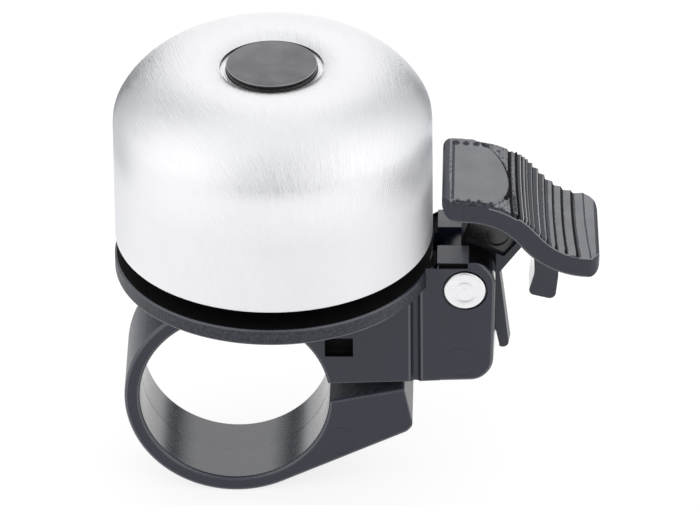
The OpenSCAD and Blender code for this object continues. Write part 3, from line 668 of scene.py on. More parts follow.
class BELL_OT_base_plate(bpy.types.Operator):
    """Base plate with its flange, post, snap legs and peg"""

    bl_idname = "bell.base_plate"
    bl_label = "Base plate"

    FINISHES = [*SHARED, "Painted shade nylon"]

    def execute(self, context):
        s = sizes()
        bm = copy_of("base_plate")
        seat = BRACKET_HIGH.z - s.plate_drop
        for vert in bm.verts:
            if vert.co.z < seat and abs(vert.co.y) > s.leg_y:
                vert.co.y -= math.copysign(s.leg_inset, vert.co.y)
        for face in bm.faces:
            middle = face.calc_center_median()
            out = math.hypot(middle.x - BELL_X, middle.y)
            # Snap legs behind their windows and the plate's top under the dome get painted shade
            if middle.z < seat or face.normal.z > 0.9:
                face.material_index = self.FINISHES.index("Painted shade nylon")
            # The flange's side gets the grained finish, paler by a painted sheen
            elif abs(face.normal.z) < 0.5 and out > 0.8 * BELL_R:
                face.material_index = self.FINISHES.index("Grained nylon with painted sheen")
        weigh(bm, s.plate_edge, s.plate_edge, lambda edge: True)
        taper(bm)
        piece("flange_plate", bm, self.FINISHES, "base", "base_plate", s.plate_edge, EDGE)
        return {"FINISHED"}


def on_side(edge, y):
    """True for an edge that lies in the plane of a moulding's side face."""
    return all(abs(abs(v.co.y) - y) < WELD for v in edge.verts)


def in_pocket(point):
    """True for a point on the walls of a snap leg's pocket or on the edge of its window."""
    s = sizes()
    near = abs(point.x - s.window_x) < 0.55 * s.window_w
    return near and s.leg_y / 2 < abs(point.y) and BORE_R / 2 < point.z < PLATE_LOW.z + s.window_w * 4


def at_head(point):
    """True for a point on the edge of the hole for the pin's head or its retainer."""
    return (point.xz - PIVOT.xz).length < 0.6 * sizes().head_d


def at_rim(point):
    """True for a point where the ears meet the base plate's rim."""
    return point.z > PLATE_HIGH.z / 2 and (point.xy - Vector((BELL_X, 0))).length < PLATE_R + 3 * sizes().seam


class BELL_OT_bracket(bpy.types.Operator):
    """Clamp bracket with its band, jaw and ears"""

    bl_idname = "bell.bracket"
    bl_label = "Bracket"

    FINISHES = [*SHARED, "Polished nylon", "Painted shade nylon", "Painted sheen nylon", "Glossy nylon"]

    # Marks of the mould's ejector pins, as place and radius in millimetres
    MARKS = ((26.45, 5.05, 1.85), (12.42, -5.93, 1.75))

    def execute(self, context):
        s = sizes()
        bm = copy_of("clamp_bracket")
        side = BRACKET_HIGH.y
        seat = BRACKET_HIGH.z - s.plate_drop
        bell = Vector((BELL_X, 0))
        right = BRACKET_HIGH.x - s.head_d / 2
        self.ear_tops(bm, s)
        for vert in bm.verts:
            depth = side - abs(vert.co.y)
            across = (vert.co.x - s.groove_x) / s.groove_r
            if WELD < depth < 1.1 * s.groove_r and abs(across) < 1 and vert.co.z > 0:
                vert.co.y = math.copysign(side - s.groove_depth * (1 - across ** 2), vert.co.y)
            out = vert.co.xy - bell
            if vert.co.z > seat - WELD and vert.co.x > s.groove_x and PLATE_R < out.length < PLATE_R + 10 * s.seam:
                vert.co.xy = bell + out.normalized() * (PLATE_R + s.seam)
            if depth < WELD and (vert.co.xz - PIVOT.xz).length > s.head_d:
                vert.co.x -= s.ear_draft * max(vert.co.x - right, 0) / (BRACKET_HIGH.x - right)
        bore = lambda face: self.finish_of(face, s) == "Polished nylon"
        cut(bm, bore, 1, (-s.seam_w, 0, s.seam_w))
        for vert in bm.verts:
            if abs(vert.co.y) < WELD and abs(vert.co.xz.length - BORE_R) < CLOSE:
                vert.co.xz *= 1 + s.seam_depth / BORE_R
        bm.normal_update()
        for face in bm.faces:
            face.material_index = self.FINISHES.index(self.finish_of(face, s))
        sharp = lambda point: in_pocket(point) or at_head(point) or self.at_slot(point, s)
        weigh(bm, s.inner_edge, s.bracket_bevel, lambda edge: True)
        weigh(bm, s.outer_edge, s.bracket_bevel, lambda edge: on_side(edge, side))
        weigh(bm, 0, s.bracket_bevel, lambda edge: all(sharp(v.co) for v in edge.verts))
        weigh(bm, 0, s.bracket_bevel, lambda edge: any(at_rim(v.co) for v in edge.verts))
        taper(bm)
        for x, z, radius in self.MARKS:
            mould_mark(bm, x * MM, -side, z * MM, radius * MM)
        piece("clamp_moulding", bm, self.FINISHES, "base", "clamp_bracket", s.bracket_bevel, EDGE)
        return {"FINISHED"}

    def at_slot(self, point, s):
        """True for a point on the ears' raised top or on the slot under it."""
        return point.z > BRACKET_HIGH.z + s.ear_rise - s.ear_step - WELD and point.x < s.ear_pad_end + WELD

    def ear_tops(self, bm, s):
        """Leaves a raised top on each ear, with a slot under its outer edge."""
        top = BRACKET_HIGH.z + s.ear_rise
        side = BRACKET_HIGH.y
        low = top - s.ear_step
        fine = 0.1 * MM
        head = PIVOT.z + 0.51 * s.head_d
        for vert in bm.verts:
            if vert.co.z > head:
                vert.co.z += s.ear_rise * (vert.co.z - head) / (BRACKET_HIGH.z - head)
        upper = lambda face: face.normal.z > 0.99 and face.calc_center_median().z > top - CLOSE
        outer = lambda face: (abs(face.normal.y) > 0.99 and abs(abs(face.calc_center_median().y) - side) < CLOSE
                              and max(v.co.z for v in face.verts) > low)
        cut(bm, upper, 0, (s.ear_pad_x, s.ear_pad_x + CLOSE, s.ear_pad_end))
        cut(bm, outer, 2, (low, low + fine, top - 2 * fine, top - fine))
        cut(bm, outer, 0, (s.ear_pad_x + 2 * fine, s.ear_pad_x + 3 * fine, s.ear_pad_end - 2 * fine,
                           s.ear_pad_end - fine))
        for vert in bm.verts:
            if vert.co.z > low and vert.co.x < s.ear_pad_x + WELD:
                vert.co.z = low
            inside = s.ear_pad_x + 2.5 * fine < vert.co.x < s.ear_pad_end - 1.5 * fine
            if inside and low + fine / 2 < vert.co.z < top - 1.5 * fine and abs(vert.co.y) > side - WELD:
                vert.co.y -= math.copysign(s.slot_depth, vert.co.y)
        bmesh.ops.remove_doubles(bm, verts=bm.verts, dist=WELD)
        bmesh.ops.dissolve_degenerate(bm, edges=bm.edges, dist=WELD)

    def finish_of(self, face, s):
        """Finish of a face."""
        side = BRACKET_HIGH.y
        middle = face.calc_center_median()
        away = math.hypot(face.normal.x, face.normal.z)
        inward = face.normal.x * middle.x + face.normal.z * middle.z < 0
        if away > 0.9 and inward and math.hypot(middle.x, middle.z) < BORE_R + CLOSE:
            return "Polished nylon"
        # Walls of the snap legs' pockets get painted shade
        if abs(middle.y) < side - WELD and in_pocket(middle):
            return "Painted shade nylon"
        if face.normal.x > 0.9 and middle.x > BRACKET_HIGH.x - s.head_d / 2:
            return "Glossy nylon"
        # Upper faces of the ears: a painted sheen on the raised top, and painted shade beyond it
        if face.normal.z > 0.6 and middle.x > s.groove_x and middle.z > PIVOT.z:
            raised = s.ear_pad_x < middle.x < s.ear_pad_end and middle.z > BRACKET_HIGH.z + s.ear_rise - CLOSE
            return "Painted sheen nylon" if raised else "Painted shade nylon"
        # The slot under the ears' raised top gets painted shade
        if self.at_slot(middle, s) and side - WELD > abs(middle.y) > side - 1.1 * s.slot_depth:
            return "Painted shade nylon"
        # Other upward faces get the grained finish, paler by a painted sheen
        return "Grained nylon with painted sheen" if face.normal.z > 0.6 else "Moulded nylon"


def pad_runs():
    """Upper face of the pad, as length, radius and turn of each run from the nose; a radius of 0 is straight."""
    q = pad()
    return ((q.flat_len, 0, 0), (q.brow_r * (q.steep_slope - q.flat_slope), q.brow_r, -1), (q.steep_len, 0, 0),
            (q.hollow_r * (q.steep_slope + q.lip_slope), q.hollow_r, 1), (q.lip_len, 0, 0))


def pad_length():
    """Length of the pad's upper face."""
    return sum(run[0] for run in pad_runs())


def pad_end():
    """Length along the pad at which the lever ends."""
    return pad_length() - pad_at(pad_length())[0] + LEVER_HIGH.x - CLOSE


def pad_at(along):
    """Point and heading at a length along the pad's upper face."""
    q = pad()
    x, z, heading = PIVOT.x - q.set_back, PIVOT.z + q.rise, -q.flat_slope
    for run, radius, turn_way in pad_runs():
        step = min(along, run)
        if radius:
            end = heading + turn_way * step / radius
            x += radius * turn_way * (math.sin(end) - math.sin(heading))
            z -= radius * turn_way * (math.cos(end) - math.cos(heading))
            heading = end
        else:
            x += step * math.cos(heading)
            z += step * math.sin(heading)
        along -= step
    return x, z, heading


def on_pad(along, y, height):
    """Point over the pad's upper face."""
    x, z, heading = pad_at(along)
    return Vector((x - height * math.sin(heading), y, z + height * math.cos(heading)))


def half_width(x):
    """Half of the pad's width, less towards its rounded corners."""
    q = pad()
    lead = 0.08 * MM
    low, high = PIVOT.x - q.set_back - lead, LEVER_HIGH.x
    inside = min(max(min(x - low, high - x), 0), q.corner_r)
    return q.width / 2 - q.corner_r + math.sqrt(q.corner_r ** 2 - (q.corner_r - inside) ** 2)


def shape_end(point):
    """Place of a point once the pad's end leans and its far corner is rounder at the back."""
    q = pad()
    x, y, z = point
    short = LEVER_HIGH.x - x
    lean_from = 6 * MM
    if y > 0 and short < q.back_corner_x:
        round_in = math.sqrt(max(1 - ((q.back_corner_x - max(short, 0)) / q.back_corner_x) ** 2, 0))
        y *= (q.width / 2 - q.back_corner_y * (1 - round_in)) / half_width(x)
    x -= q.end_lean * smooth_step(lean_from, 0, short) * (y / q.width + 0.5)
    return Vector((x, y, z))


def pad_places(points):
    """Length along the pad and height over it for each of the points."""
    count = 400
    path = [(pad_length() * i / count, *pad_at(pad_length() * i / count)) for i in range(count + 1)]
    places = []
    for point in points:
        along, x, z, heading = min(path, key=lambda r: (point.x - r[1]) ** 2 + (point.z - r[2]) ** 2)
        places.append((along, (point.z - z) * math.cos(heading) - (point.x - x) * math.sin(heading)))
    return places


class BELL_OT_lever(bpy.types.Operator):
    """Thumb lever with its arm, hook and spring tongue; its pad is cut down for the worked layer"""

    bl_idname = "bell.lever"
    bl_label = "Lever"

    FINISHES = [*SHARED, "Painted shade nylon", "Glossy nylon", "Dark satin nylon in painted shade"]

    # Marks of the mould's ejector pins, as place and radius in millimetres
    MARKS = ((27.84, 26.28, 1), (39.4, 19.35, 1))

    # Heights over the pin, in millimetres: the hook's tip, the tops of its draft and of its fill, and its root
    TIP, DRAFT_TOP, FILL_TOP, ROOT = -2, 0.5, 1.5, 4

    # Share of the hook's shift that its tip has
    TIP_SHIFT = 0.3

    def at_hook(self, point):
        """True for a point on the hook or its root."""
        s = sizes()
        near = PIVOT.x + s.hook_x - 2 * MM
        top = PIVOT.z + (self.ROOT + 1) * MM
        return abs(point.y) < s.hook_w / 2 + WELD and point.x > near and point.z < top

    def draft(self, vert, s):
        """Tapers the hook's near side above its tip, fills out its far side below, and tapers the tongue's far
        side."""
        up = (vert.co.z - PIVOT.z) / MM
        out = abs(vert.co.y)
        if self.at_hook(vert.co):
            if vert.co.x < PIVOT.x + s.hook_x + s.hook_t / 4:
                rise = smooth_step(self.TIP, self.ROOT, up)
                shift = s.hook_shift * (self.TIP_SHIFT + (1 - self.TIP_SHIFT) * rise)
                vert.co.x += s.hook_draft * out / (s.hook_w / 2) * smooth_step(self.TIP, self.DRAFT_TOP, up) - shift
                vert.co.z += shift if up > self.ROOT else 0
            elif vert.co.x > PIVOT.x + s.hook_x + s.hook_t / 2:
                vert.co.x += s.hook_fill * smooth_step(self.FILL_TOP, self.TIP, up)
        elif up < -s.tongue_w / 2 / MM and vert.co.x > PIVOT.x + 1.1 * s.tongue_w:
            vert.co.x -= s.tongue_draft * out / (s.tongue_w / 2)

    def finish_of(self, face, s):
        """Finish of a face."""
        middle = face.calc_center_median()
        sideways = abs(face.normal.y) > 0.9
        past = abs(middle.y) - s.tongue_w / 2
        in_slot = middle.z > PIVOT.z - s.arm_drop and not (middle.x > PIVOT.x + s.arm_x and past > -CLOSE)
        # The arm's recessed sides get painted shade, and its sides in the slot between the ears a darker painted
        # shade
        if sideways and past < -CLOSE:
            return "Dark satin nylon in painted shade"
        if sideways and past < WELD and in_slot:
            return "Painted shade nylon"
        return "Glossy nylon" if face.normal.x < -0.8 and self.at_hook(middle) else "Moulded nylon"

    def execute(self, context):
        s = sizes()
        skin = pad().skin_t
        bm = copy_of("thumb_lever")
        web = lambda face: (abs(face.normal.y) > 0.9
                            and abs(abs(face.calc_center_median().y) - s.tongue_w / 2) < CLOSE)
        cut(bm, lambda face: True, 1, (0,))
        cut(bm, web, 0, (PIVOT.x + s.arm_x,))
        cut(bm, web, 2, (PIVOT.z - s.arm_drop,))
        for vert in bm.verts:
            self.draft(vert, s)
        places = pad_places([v.co for v in bm.verts])
        covered = set()
        for vert, (along, height) in zip(bm.verts, places):
            if height > -skin:
                vert.co = on_pad(along, vert.co.y, -skin)
                vert.co.x = min(vert.co.x, LEVER_HIGH.x)
            if height > -1.4 * skin:
                covered.add(vert)
        bmesh.ops.remove_doubles(bm, verts=bm.verts, dist=WELD)
        bm.normal_update()
        for face in bm.faces:
            face.material_index = self.FINISHES.index(self.finish_of(face, s))
        bare = lambda edge: not all(v in covered for v in edge.verts)
        outline = lambda edge: bare(edge) and all(
            abs(v.co.y) > half_width(v.co.x) - s.lever_edge and v.co.y ** 2 > s.arm_y ** 2 for v in edge.verts)
        weigh(bm, s.step_edge, s.lever_edge, bare)
        weigh(bm, 0, s.lever_edge, lambda edge: all(abs(v.co.y) < s.tongue_w / 2 + WELD for v in edge.verts))
        weigh(bm, s.hook_edge, s.lever_edge, lambda edge: all(self.at_hook(v.co) for v in edge.verts))
        weigh(bm, s.lever_edge, s.lever_edge, outline)
        taper(bm)
        face_y = pad().width / 2 - s.mark_rise
        for vert in bm.verts:
            vert.co.y = max(min(vert.co.y, face_y), -face_y)
            vert.co = shape_end(vert.co)
        for x, z, radius in self.MARKS:
            mould_mark(bm, x * MM, -face_y, z * MM, radius * MM)
        piece("lever_moulding", bm, self.FINISHES, "lever", "thumb_lever", s.lever_edge, EDGE)
        return {"FINISHED"}


class BELL_OT_tread(bpy.types.Operator):
    """Worked upper layer of the lever's pad: smooth panel, grained corners, toothed edges and steps"""

    bl_idname = "bell.tread"
    bl_label = "Tread"

    # Finish of each look: satin and grain are pale by a painted sheen, black is painted shade, worn is a painted
    # highlight on rims, and dark is the plain moulding
    LOOKS = {"satin": "Satin pad nylon with painted sheen", "grain": "Textured nylon with painted sheen", "dark": "Moulded nylon", "black": "Painted shade nylon",
             "worn": "Painted highlight nylon"}

    # All of these are in millimetres: along the pad from its nose, across it from its middle, and down from its face
    SLACK = 0.001
    NOSE, NOSE_LEAN = 0.7, 0.015  # dark edge over the nose, and its widening towards the front
    SPECKLE = 0.24  # grain over which the strip behind it is dark
    START_LINE_W, START_LINE_END = 0.06, 6.6  # line where the panel starts
    ARCH = (-2, -0.8)  # centre of the panel's arch
    ARCH_EDGE = 0.25
    ARCH_LINE_W, ARCH_LINE_FRONT, ARCH_LINE_START = 0.2, -4.5, 4  # line round the arch, in painted shade
    CORNER_DROP, CORNER_RIDGE = 0.12, 0.3  # grained corners beyond the arch
    FRONT_TEETH = (1.2, 2.35, 3.6, 4.95, 6.4, 7.6)
    TOOTH_W, TOOTH_LEN, TOOTH_SIDE = 0.42, 0.5, 0.2
    FRONT_EDGE, FRONT_DEPTH, FRONT_GRAIN = 6.3, 0.28, 0.03  # lowered strip that the teeth reach into
    BACK_PITS = (1.5, 2.65, 3.85, 4.93)
    PIT_Y, PIT_W, PIT_LEN, PIT_DEPTH = 6.4, 0.44, 0.55, 0.34
    VALLEY, VALLEY_W, VALLEY_DEPTH, VALLEY_LINE = 8.15, 0.2, 0.3, 0.11  # valley between the panel and the steps, with a line of painted shade along it
    POCKET, POCKET_DEPTH = (8.35, 8.75, -6, -2.7), 0.12
    DARK_DEPTH, DARK_GRAIN_DEPTH = 0.16, 0.3  # depths past which the panel and its corners keep the plain dark moulding, without the painted sheen
    FLOOR = 0.06  # least thickness of the worked layer
    STEPS = (9.1, 9.75, 10.25, 10.75, 11.55, 12.6, 13.7, 14.95, 16.2, 17.55, 19.1)
    RISER, STEEP_RISER = 0.28, 0.24  # width of a riser on the level, and what it gains where the pad is steepest
    LAST_STEP, LAST_SHADE, LAST_PITCH = (0.14, 0.08), 0.06, 0.3  # the step on the lip's end
    LAST_HIGHLIGHT = 12  # place past which no step's rim has a painted highlight
    SHADE_FADE = (12, 15.8)  # places between which the steps' dark sides get narrower
    LEAN_START, LEAN_END = (6, 8.5), (19.8, 19)  # places between which the steps' slant comes in and goes out
    LEAN, BEND = 0.038, 0.0036  # slant of the steps, and its growth towards the front
    # Width of each step's rim with a painted highlight
    RIM_W = 0.12
    STEP_GRAIN, STEP_RAGGED = 0.02, 0.06
    STEP_FADE, STEP_FRONT_DROP = (6.4, 7.2), 0.22  # strip in which the steps run out at the front
    PARTING_W, PARTING_DEPTH = 0.07, 0.03  # the mould's parting line down the middle
    FRONT_LINE = 5.5  # place from which the front edge has a pale line, a painted highlight

    def step(self, index):
        """Start, end, riser width and depth of a step, in millimetres."""
        q = pad()
        lines = [*self.STEPS, pad_end() / MM + self.LAST_PITCH]
        pitch = lines[index + 1] - lines[index]
        slope = abs(math.sin(pad_at(lines[index] * MM)[2])) / math.sin(q.steep_slope)
        width = min(self.RISER + self.STEEP_RISER * slope, 0.45 * pitch)
        depth = min((q.step_low + (q.step_high - q.step_low) * slope) / MM, 0.4 * pitch)
        if self.is_last(index):
            width, depth = self.LAST_STEP
        return lines[index] - width / 2, lines[index + 1] - width / 2, width, depth

    def is_last(self, index):
        """True for the step on the lip's end."""
        return index == len(self.STEPS) - 1

    def shade(self, index):
        """Width of a step's dark side, which is most of it where the pad is steep, in millimetres."""
        if self.is_last(index):
            return self.LAST_SHADE
        low, high, width, _ = self.step(index)
        steep, lost = 0.86, 0.5
        share = steep - lost * smooth_step(*self.SHADE_FADE, self.STEPS[index])
        return max(0.95 * width, share * (high - low))

    def lean(self, along, y):
        """Shift of the steps along the pad towards its front edge, which they cross aslant."""
        near = 0.5 - y / MM
        fade = smooth_step(*self.LEAN_START, along / MM) * smooth_step(*self.LEAN_END, along / MM)
        return (self.LEAN * near + self.BEND * near ** 2) * fade * MM

    def rows(self):
        """Lengths along the pad at which its points lie, close together at edges."""
        q = pad()
        end = pad_end()
        start = self.step(0)[0] * MM
        plain, fold, blur = 0.1 * MM, 0.03, 0.04
        found = [q.nose_edge * (1 - math.cos(math.radians(a))) for a in range(0, 90, 12)]
        count = round((start - q.nose_edge) / plain)
        found += [q.nose_edge + (start - q.nose_edge) * i / count for i in range(count)]
        for i in range(len(self.STEPS)):
            low, high, width, _ = self.step(i)
            flat = high - low - width
            edge = self.shade(i)
            places = {0, fold, width / 2, width - fold, width + fold, width + flat / 3, width + 2 * flat / 3,
                      high - low - fold, high - low - self.RIM_W, edge - blur, edge, edge + blur}
            found += [(low + place) * MM for place in sorted(places)]
        found = [f for f in found if f < end - q.lip_edge - 0.05 * MM]
        return found + [end - q.lip_edge * (1 - math.sin(math.radians(a))) for a in range(0, 91, 15)]

    def on_steps(self, a, w, grain, at_lip):
        """Drop and look of the stepped part at a place in millimetres."""
        index = max(i for i in range(len(self.STEPS)) if a >= self.step(i)[0] - self.SLACK)
        low, high, width, depth = self.step(index)
        past = a - low
        drop = depth * (past / width if past < width else (high - a) / (high - low - width)) * MM
        at_front = smooth_step(*self.STEP_FADE, -w)
        drop = max(drop * (1 - at_front) + self.STEP_FRONT_DROP * MM * at_front, 0) + self.STEP_GRAIN * MM * grain
        if abs(w) < self.PARTING_W:
            drop += self.PARTING_DEPTH * MM
        ragged = self.STEP_RAGGED * noise.noise(Vector((index * 7.1, w * 3.3, 0.4)))
        # The foot of each riser gets painted shade
        if past < 0.62 * width and not self.is_last(index):
            return drop, "black"
        # The rims of the early steps get a painted highlight
        if self.STEPS[index] < self.LAST_HIGHLIGHT and past > high - low - self.RIM_W - self.SLACK:
            return drop, "worn"
        return drop, "dark" if past < self.shade(index) + ragged or at_lip else "grain"

    def on_panel(self, along, w, grain):
        """Drop and look of the part with the smooth panel, at a length along it and a place across it in
        millimetres."""
        q = pad()
        a, start, arch = along / MM, q.panel_start / MM, q.panel_r / MM
        nose = self.NOSE + self.NOSE_LEAN * max(0.5 - w, 0)
        reach = math.hypot(a - self.ARCH[0], w - self.ARCH[1])
        drop, look = 0, "satin" if a > nose else "dark"
        if a > start:
            outside = smooth_step(arch, arch + self.ARCH_EDGE, reach)
            if outside > 0:
                ridge = noise.noise(Vector((a * 5.3, w * 5.3, 8.1)))
                drop += outside * (self.CORNER_DROP * MM + self.CORNER_DROP * MM * (1 + ridge))
                look = "dark" if ridge > self.CORNER_RIDGE else "grain"
            drop += q.line_depth * math.exp(-((reach - arch) / (q.line_w / MM)) ** 2)
            tooth = max(math.exp(-((a - t) / self.TOOTH_W) ** 4) for t in self.FRONT_TEETH)
            front = smooth_step(0, self.TOOTH_SIDE, -w - self.FRONT_EDGE - self.TOOTH_LEN * tooth)
            drop += front * (self.FRONT_DEPTH * MM + self.FRONT_GRAIN * MM * grain)
            pit = max(math.exp(-(((a - t) / self.PIT_W) ** 2 + ((w - self.PIT_Y) / self.PIT_LEN) ** 2))
                      for t in self.BACK_PITS)
            drop += self.PIT_DEPTH * MM * pit
        by_line = abs(w) < self.START_LINE_END
        if by_line:
            drop += 0.5 * q.line_depth * math.exp(-((along - q.panel_start) / (0.6 * q.line_w)) ** 2)
        drop += self.VALLEY_DEPTH * MM * math.exp(-((a - self.VALLEY) / self.VALLEY_W) ** 2)
        if self.POCKET[2] < w < self.POCKET[3] and self.POCKET[0] < a < self.POCKET[1]:
            drop += self.POCKET_DEPTH * MM
        drop = min(drop, q.skin_t - self.FLOOR * MM)
        on_line = by_line and abs(along - q.panel_start) < self.START_LINE_W * MM
        # Painted shade along the line round the arch and along the valley; deeper places keep the plain dark
        # moulding, without the painted sheen
        if nose < a < start and grain > self.SPECKLE or on_line:
            look = "dark"
        elif abs(reach - arch) < self.ARCH_LINE_W and w > self.ARCH_LINE_FRONT and a > self.ARCH_LINE_START:
            look = "black"
        if abs(a - self.VALLEY) < self.VALLEY_LINE:
            look = "black"
        elif look != "black" and drop > (self.DARK_GRAIN_DEPTH if look == "grain" else self.DARK_DEPTH) * MM:
            look = "dark"
        return drop, look

    def height(self, along, y):
        """Height of the worked surface over the pad's plain face, and its look."""
        q = pad()
        lip = pad_end() - q.lip_edge
        a, w = along / MM, y / MM
        grain = (noise.noise(Vector((a * 4.1, w * 4.1, 3.7))) * 0.5
                 + noise.noise(Vector((a * 9.3, w * 7.7, 1.3))) * 0.5)
        rounding = 0
        if along < q.nose_edge:
            rounding = q.nose_edge - math.sqrt(max(q.nose_edge ** 2 - (q.nose_edge - along) ** 2, 0))
        elif along > lip:
            rounding = q.lip_edge - math.sqrt(max(q.lip_edge ** 2 - (along - lip) ** 2, 0))
        if a >= self.step(0)[0] - self.SLACK:
            drop, look = self.on_steps(a, w, grain, along > lip)
        else:
            drop, look = self.on_panel(along, w, grain)
        return -max(drop, rounding), look

    def execute(self, context):
        q = pad()
        looks = list(self.LOOKS)
        rows = self.rows()
        column_w, overlap, edge = 0.12 * MM, 0.05 * MM, 0.1 * MM
        columns = round(q.width / column_w)
        bm = bmesh.new()
        bmesh.ops.create_grid(bm, x_segments=len(rows) - 1, y_segments=columns, size=1)
        walls = bmesh.ops.extrude_face_region(bm, geom=bm.faces[:], use_keep_orig=True)
        under = {g for g in walls["geom"] if isinstance(g, bmesh.types.BMVert)}
        spots = {}
        for vert in bm.verts:
            along = rows[round((vert.co.x + 1) / 2 * (len(rows) - 1))]
            across = round((vert.co.y + 1) / 2 * columns)
            y = half_width(pad_at(along)[0]) * (2 * across / columns - 1)
            height, look = (-q.skin_t - overlap, "dark") if vert in under else self.height(along, y)
            along += self.lean(along, y)
            if vert not in under and across in (0, columns):
                height -= edge
            spots[vert] = (along, y, height, look, across)
        for face in bm.faces:
            found = [spots[v][3] for v in face.verts]
            hidden = any(v in under for v in face.verts)
            at_front = any(spots[v][4] == 0 for v in face.verts)
            # Past that place the front edge gets the pale look, a painted highlight
            if at_front and min(spots[v][0] for v in face.verts) > self.FRONT_LINE * MM:
                found = ["grain"]
            face.material_index = looks.index("dark" if hidden else max(sorted(set(found)), key=found.count))
        for vert, (along, y, height, look, across) in spots.items():
            vert.co = shape_end(on_pad(along, y, height))
        bmesh.ops.recalc_face_normals(bm, faces=bm.faces)
        piece("tread_pad", bm, self.LOOKS.values(), "lever", None)
        return {"FINISHED"}


class BELL_OT_hinge_pin(bpy.types.Operator):
    """Hinge pin with its rounded head"""

    bl_idname = "bell.hinge_pin"
    bl_label = "Hinge pin"

    # Turned marks on the head, as radius and depth in millimetres
    MARKS = ((1.36, 0), (1.3, 0.03), (1.18, 0.03), (1.1, 0), (0.62, 0), (0.55, 0.008), (0.45, 0.008), (0.4, 0))

    def execute(self, context):
        s = sizes()
        edge = s.pin_edge
        head = s.head_d / 2
        front = -PIN_LOW.y
        tail = -PIN_HIGH.y
        shank = s.pin_d / 2
        bm = bmesh.new()
        p = bm.verts.new((0, 0, tail))
        p = line(bm, p, shank - edge, tail)
        p = arc(bm, p, (shank - edge, tail + edge), 90, 4)
        p = line(bm, p, shank, front - s.pin_head_t)
        p = line(bm, p, head, front - s.pin_head_t)
        p = line(bm, p, head, front - edge)
        p = arc(bm, p, (head - edge, front - edge), 90, 6)
        for out, drop in self.MARKS:
            p = line(bm, p, out * MM, front - drop * MM)
        line(bm, p, 0, front)
        turn(bm, (0, 0, 0), (0, 0, 1))
        bmesh.ops.rotate(bm, verts=bm.verts, matrix=Matrix.Rotation(math.radians(90), 3, "X"))
        bmesh.ops.translate(bm, verts=bm.verts, vec=PIVOT)
        piece("pivot_rivet", bm, ["Bright aluminium"], "base", "hinge_pin")
        return {"FINISHED"}


class BELL_OT_fasteners(bpy.types.Operator):
    """Screws, washers, nut, retainer and bush"""

    bl_idname = "bell.fasteners"
    bl_label = "Fasteners"

    def execute(self, context):
        s = sizes()
        steel = ("Zinc-plated steel", "zinc_steel")
        rubber = ("Black rubber", "bush_rubber")
        kinds = {
            "clamp_screw": ("screw", steel),
            "clamp_washer": ("base", steel),
            "clamp_nut": ("base", steel),
            "dome_screw": ("base", steel),
            "dome_washer": ("base", steel),
            "dome_bush": ("base", rubber),
            "pin_retainer": ("base", steel),
        }
        for node, (body, (material, slot)) in kinds.items():
            bm = copy_of(node)
            weigh(bm, s.steel_edge, s.steel_edge, lambda edge: True)
            piece(node + "_finished", bm, [material], body, node, s.steel_edge)
        return {"FINISHED"}


def seen(tree):
    """Output that is 1 to the camera, reflections and glass, and 0 to the light that falls on the object."""
    path = add(tree, "ShaderNodeLightPath").outputs
    either = add(tree, "ShaderNodeMath", {0: path["Is Camera Ray"], 1: path["Is Glossy Ray"]}, operation="MAXIMUM")
    either = add(tree, "ShaderNodeMath", {0: either.outputs[0], 1: path["Is Transmission Ray"]}, operation="MAXIMUM")
    return either.outputs[0]


def staged(name, bm, material):
    """Object of the stage from a finished mesh."""
    mesh = bpy.data.meshes.new(name)
    bm.to_mesh(mesh)
    bm.free()
    mesh.materials.append(material)
    obj = bpy.data.objects.new(name, mesh)
    bpy.context.scene.collection.objects.link(obj)
    return obj


def softbox(name, place, aim, width, height, radiance):
    """Area lamp at a place, facing an aim, with a given radiance."""
    lamp = bpy.data.lights.new(name, "AREA")
    lamp.shape = "RECTANGLE"
    lamp.size = width
    lamp.size_y = height
    lamp.energy = 4 * radiance * width * height  # a lamp's radiance is a quarter of its power per area
    obj = bpy.data.objects.new(name, lamp)
    obj.location = place
    obj.rotation_mode = "QUATERNION"
    obj.rotation_quaternion = (Vector(aim) - Vector(place)).to_track_quat("-Z", "Y")
    obj.visible_camera = False
    bpy.context.scene.collection.objects.link(obj)


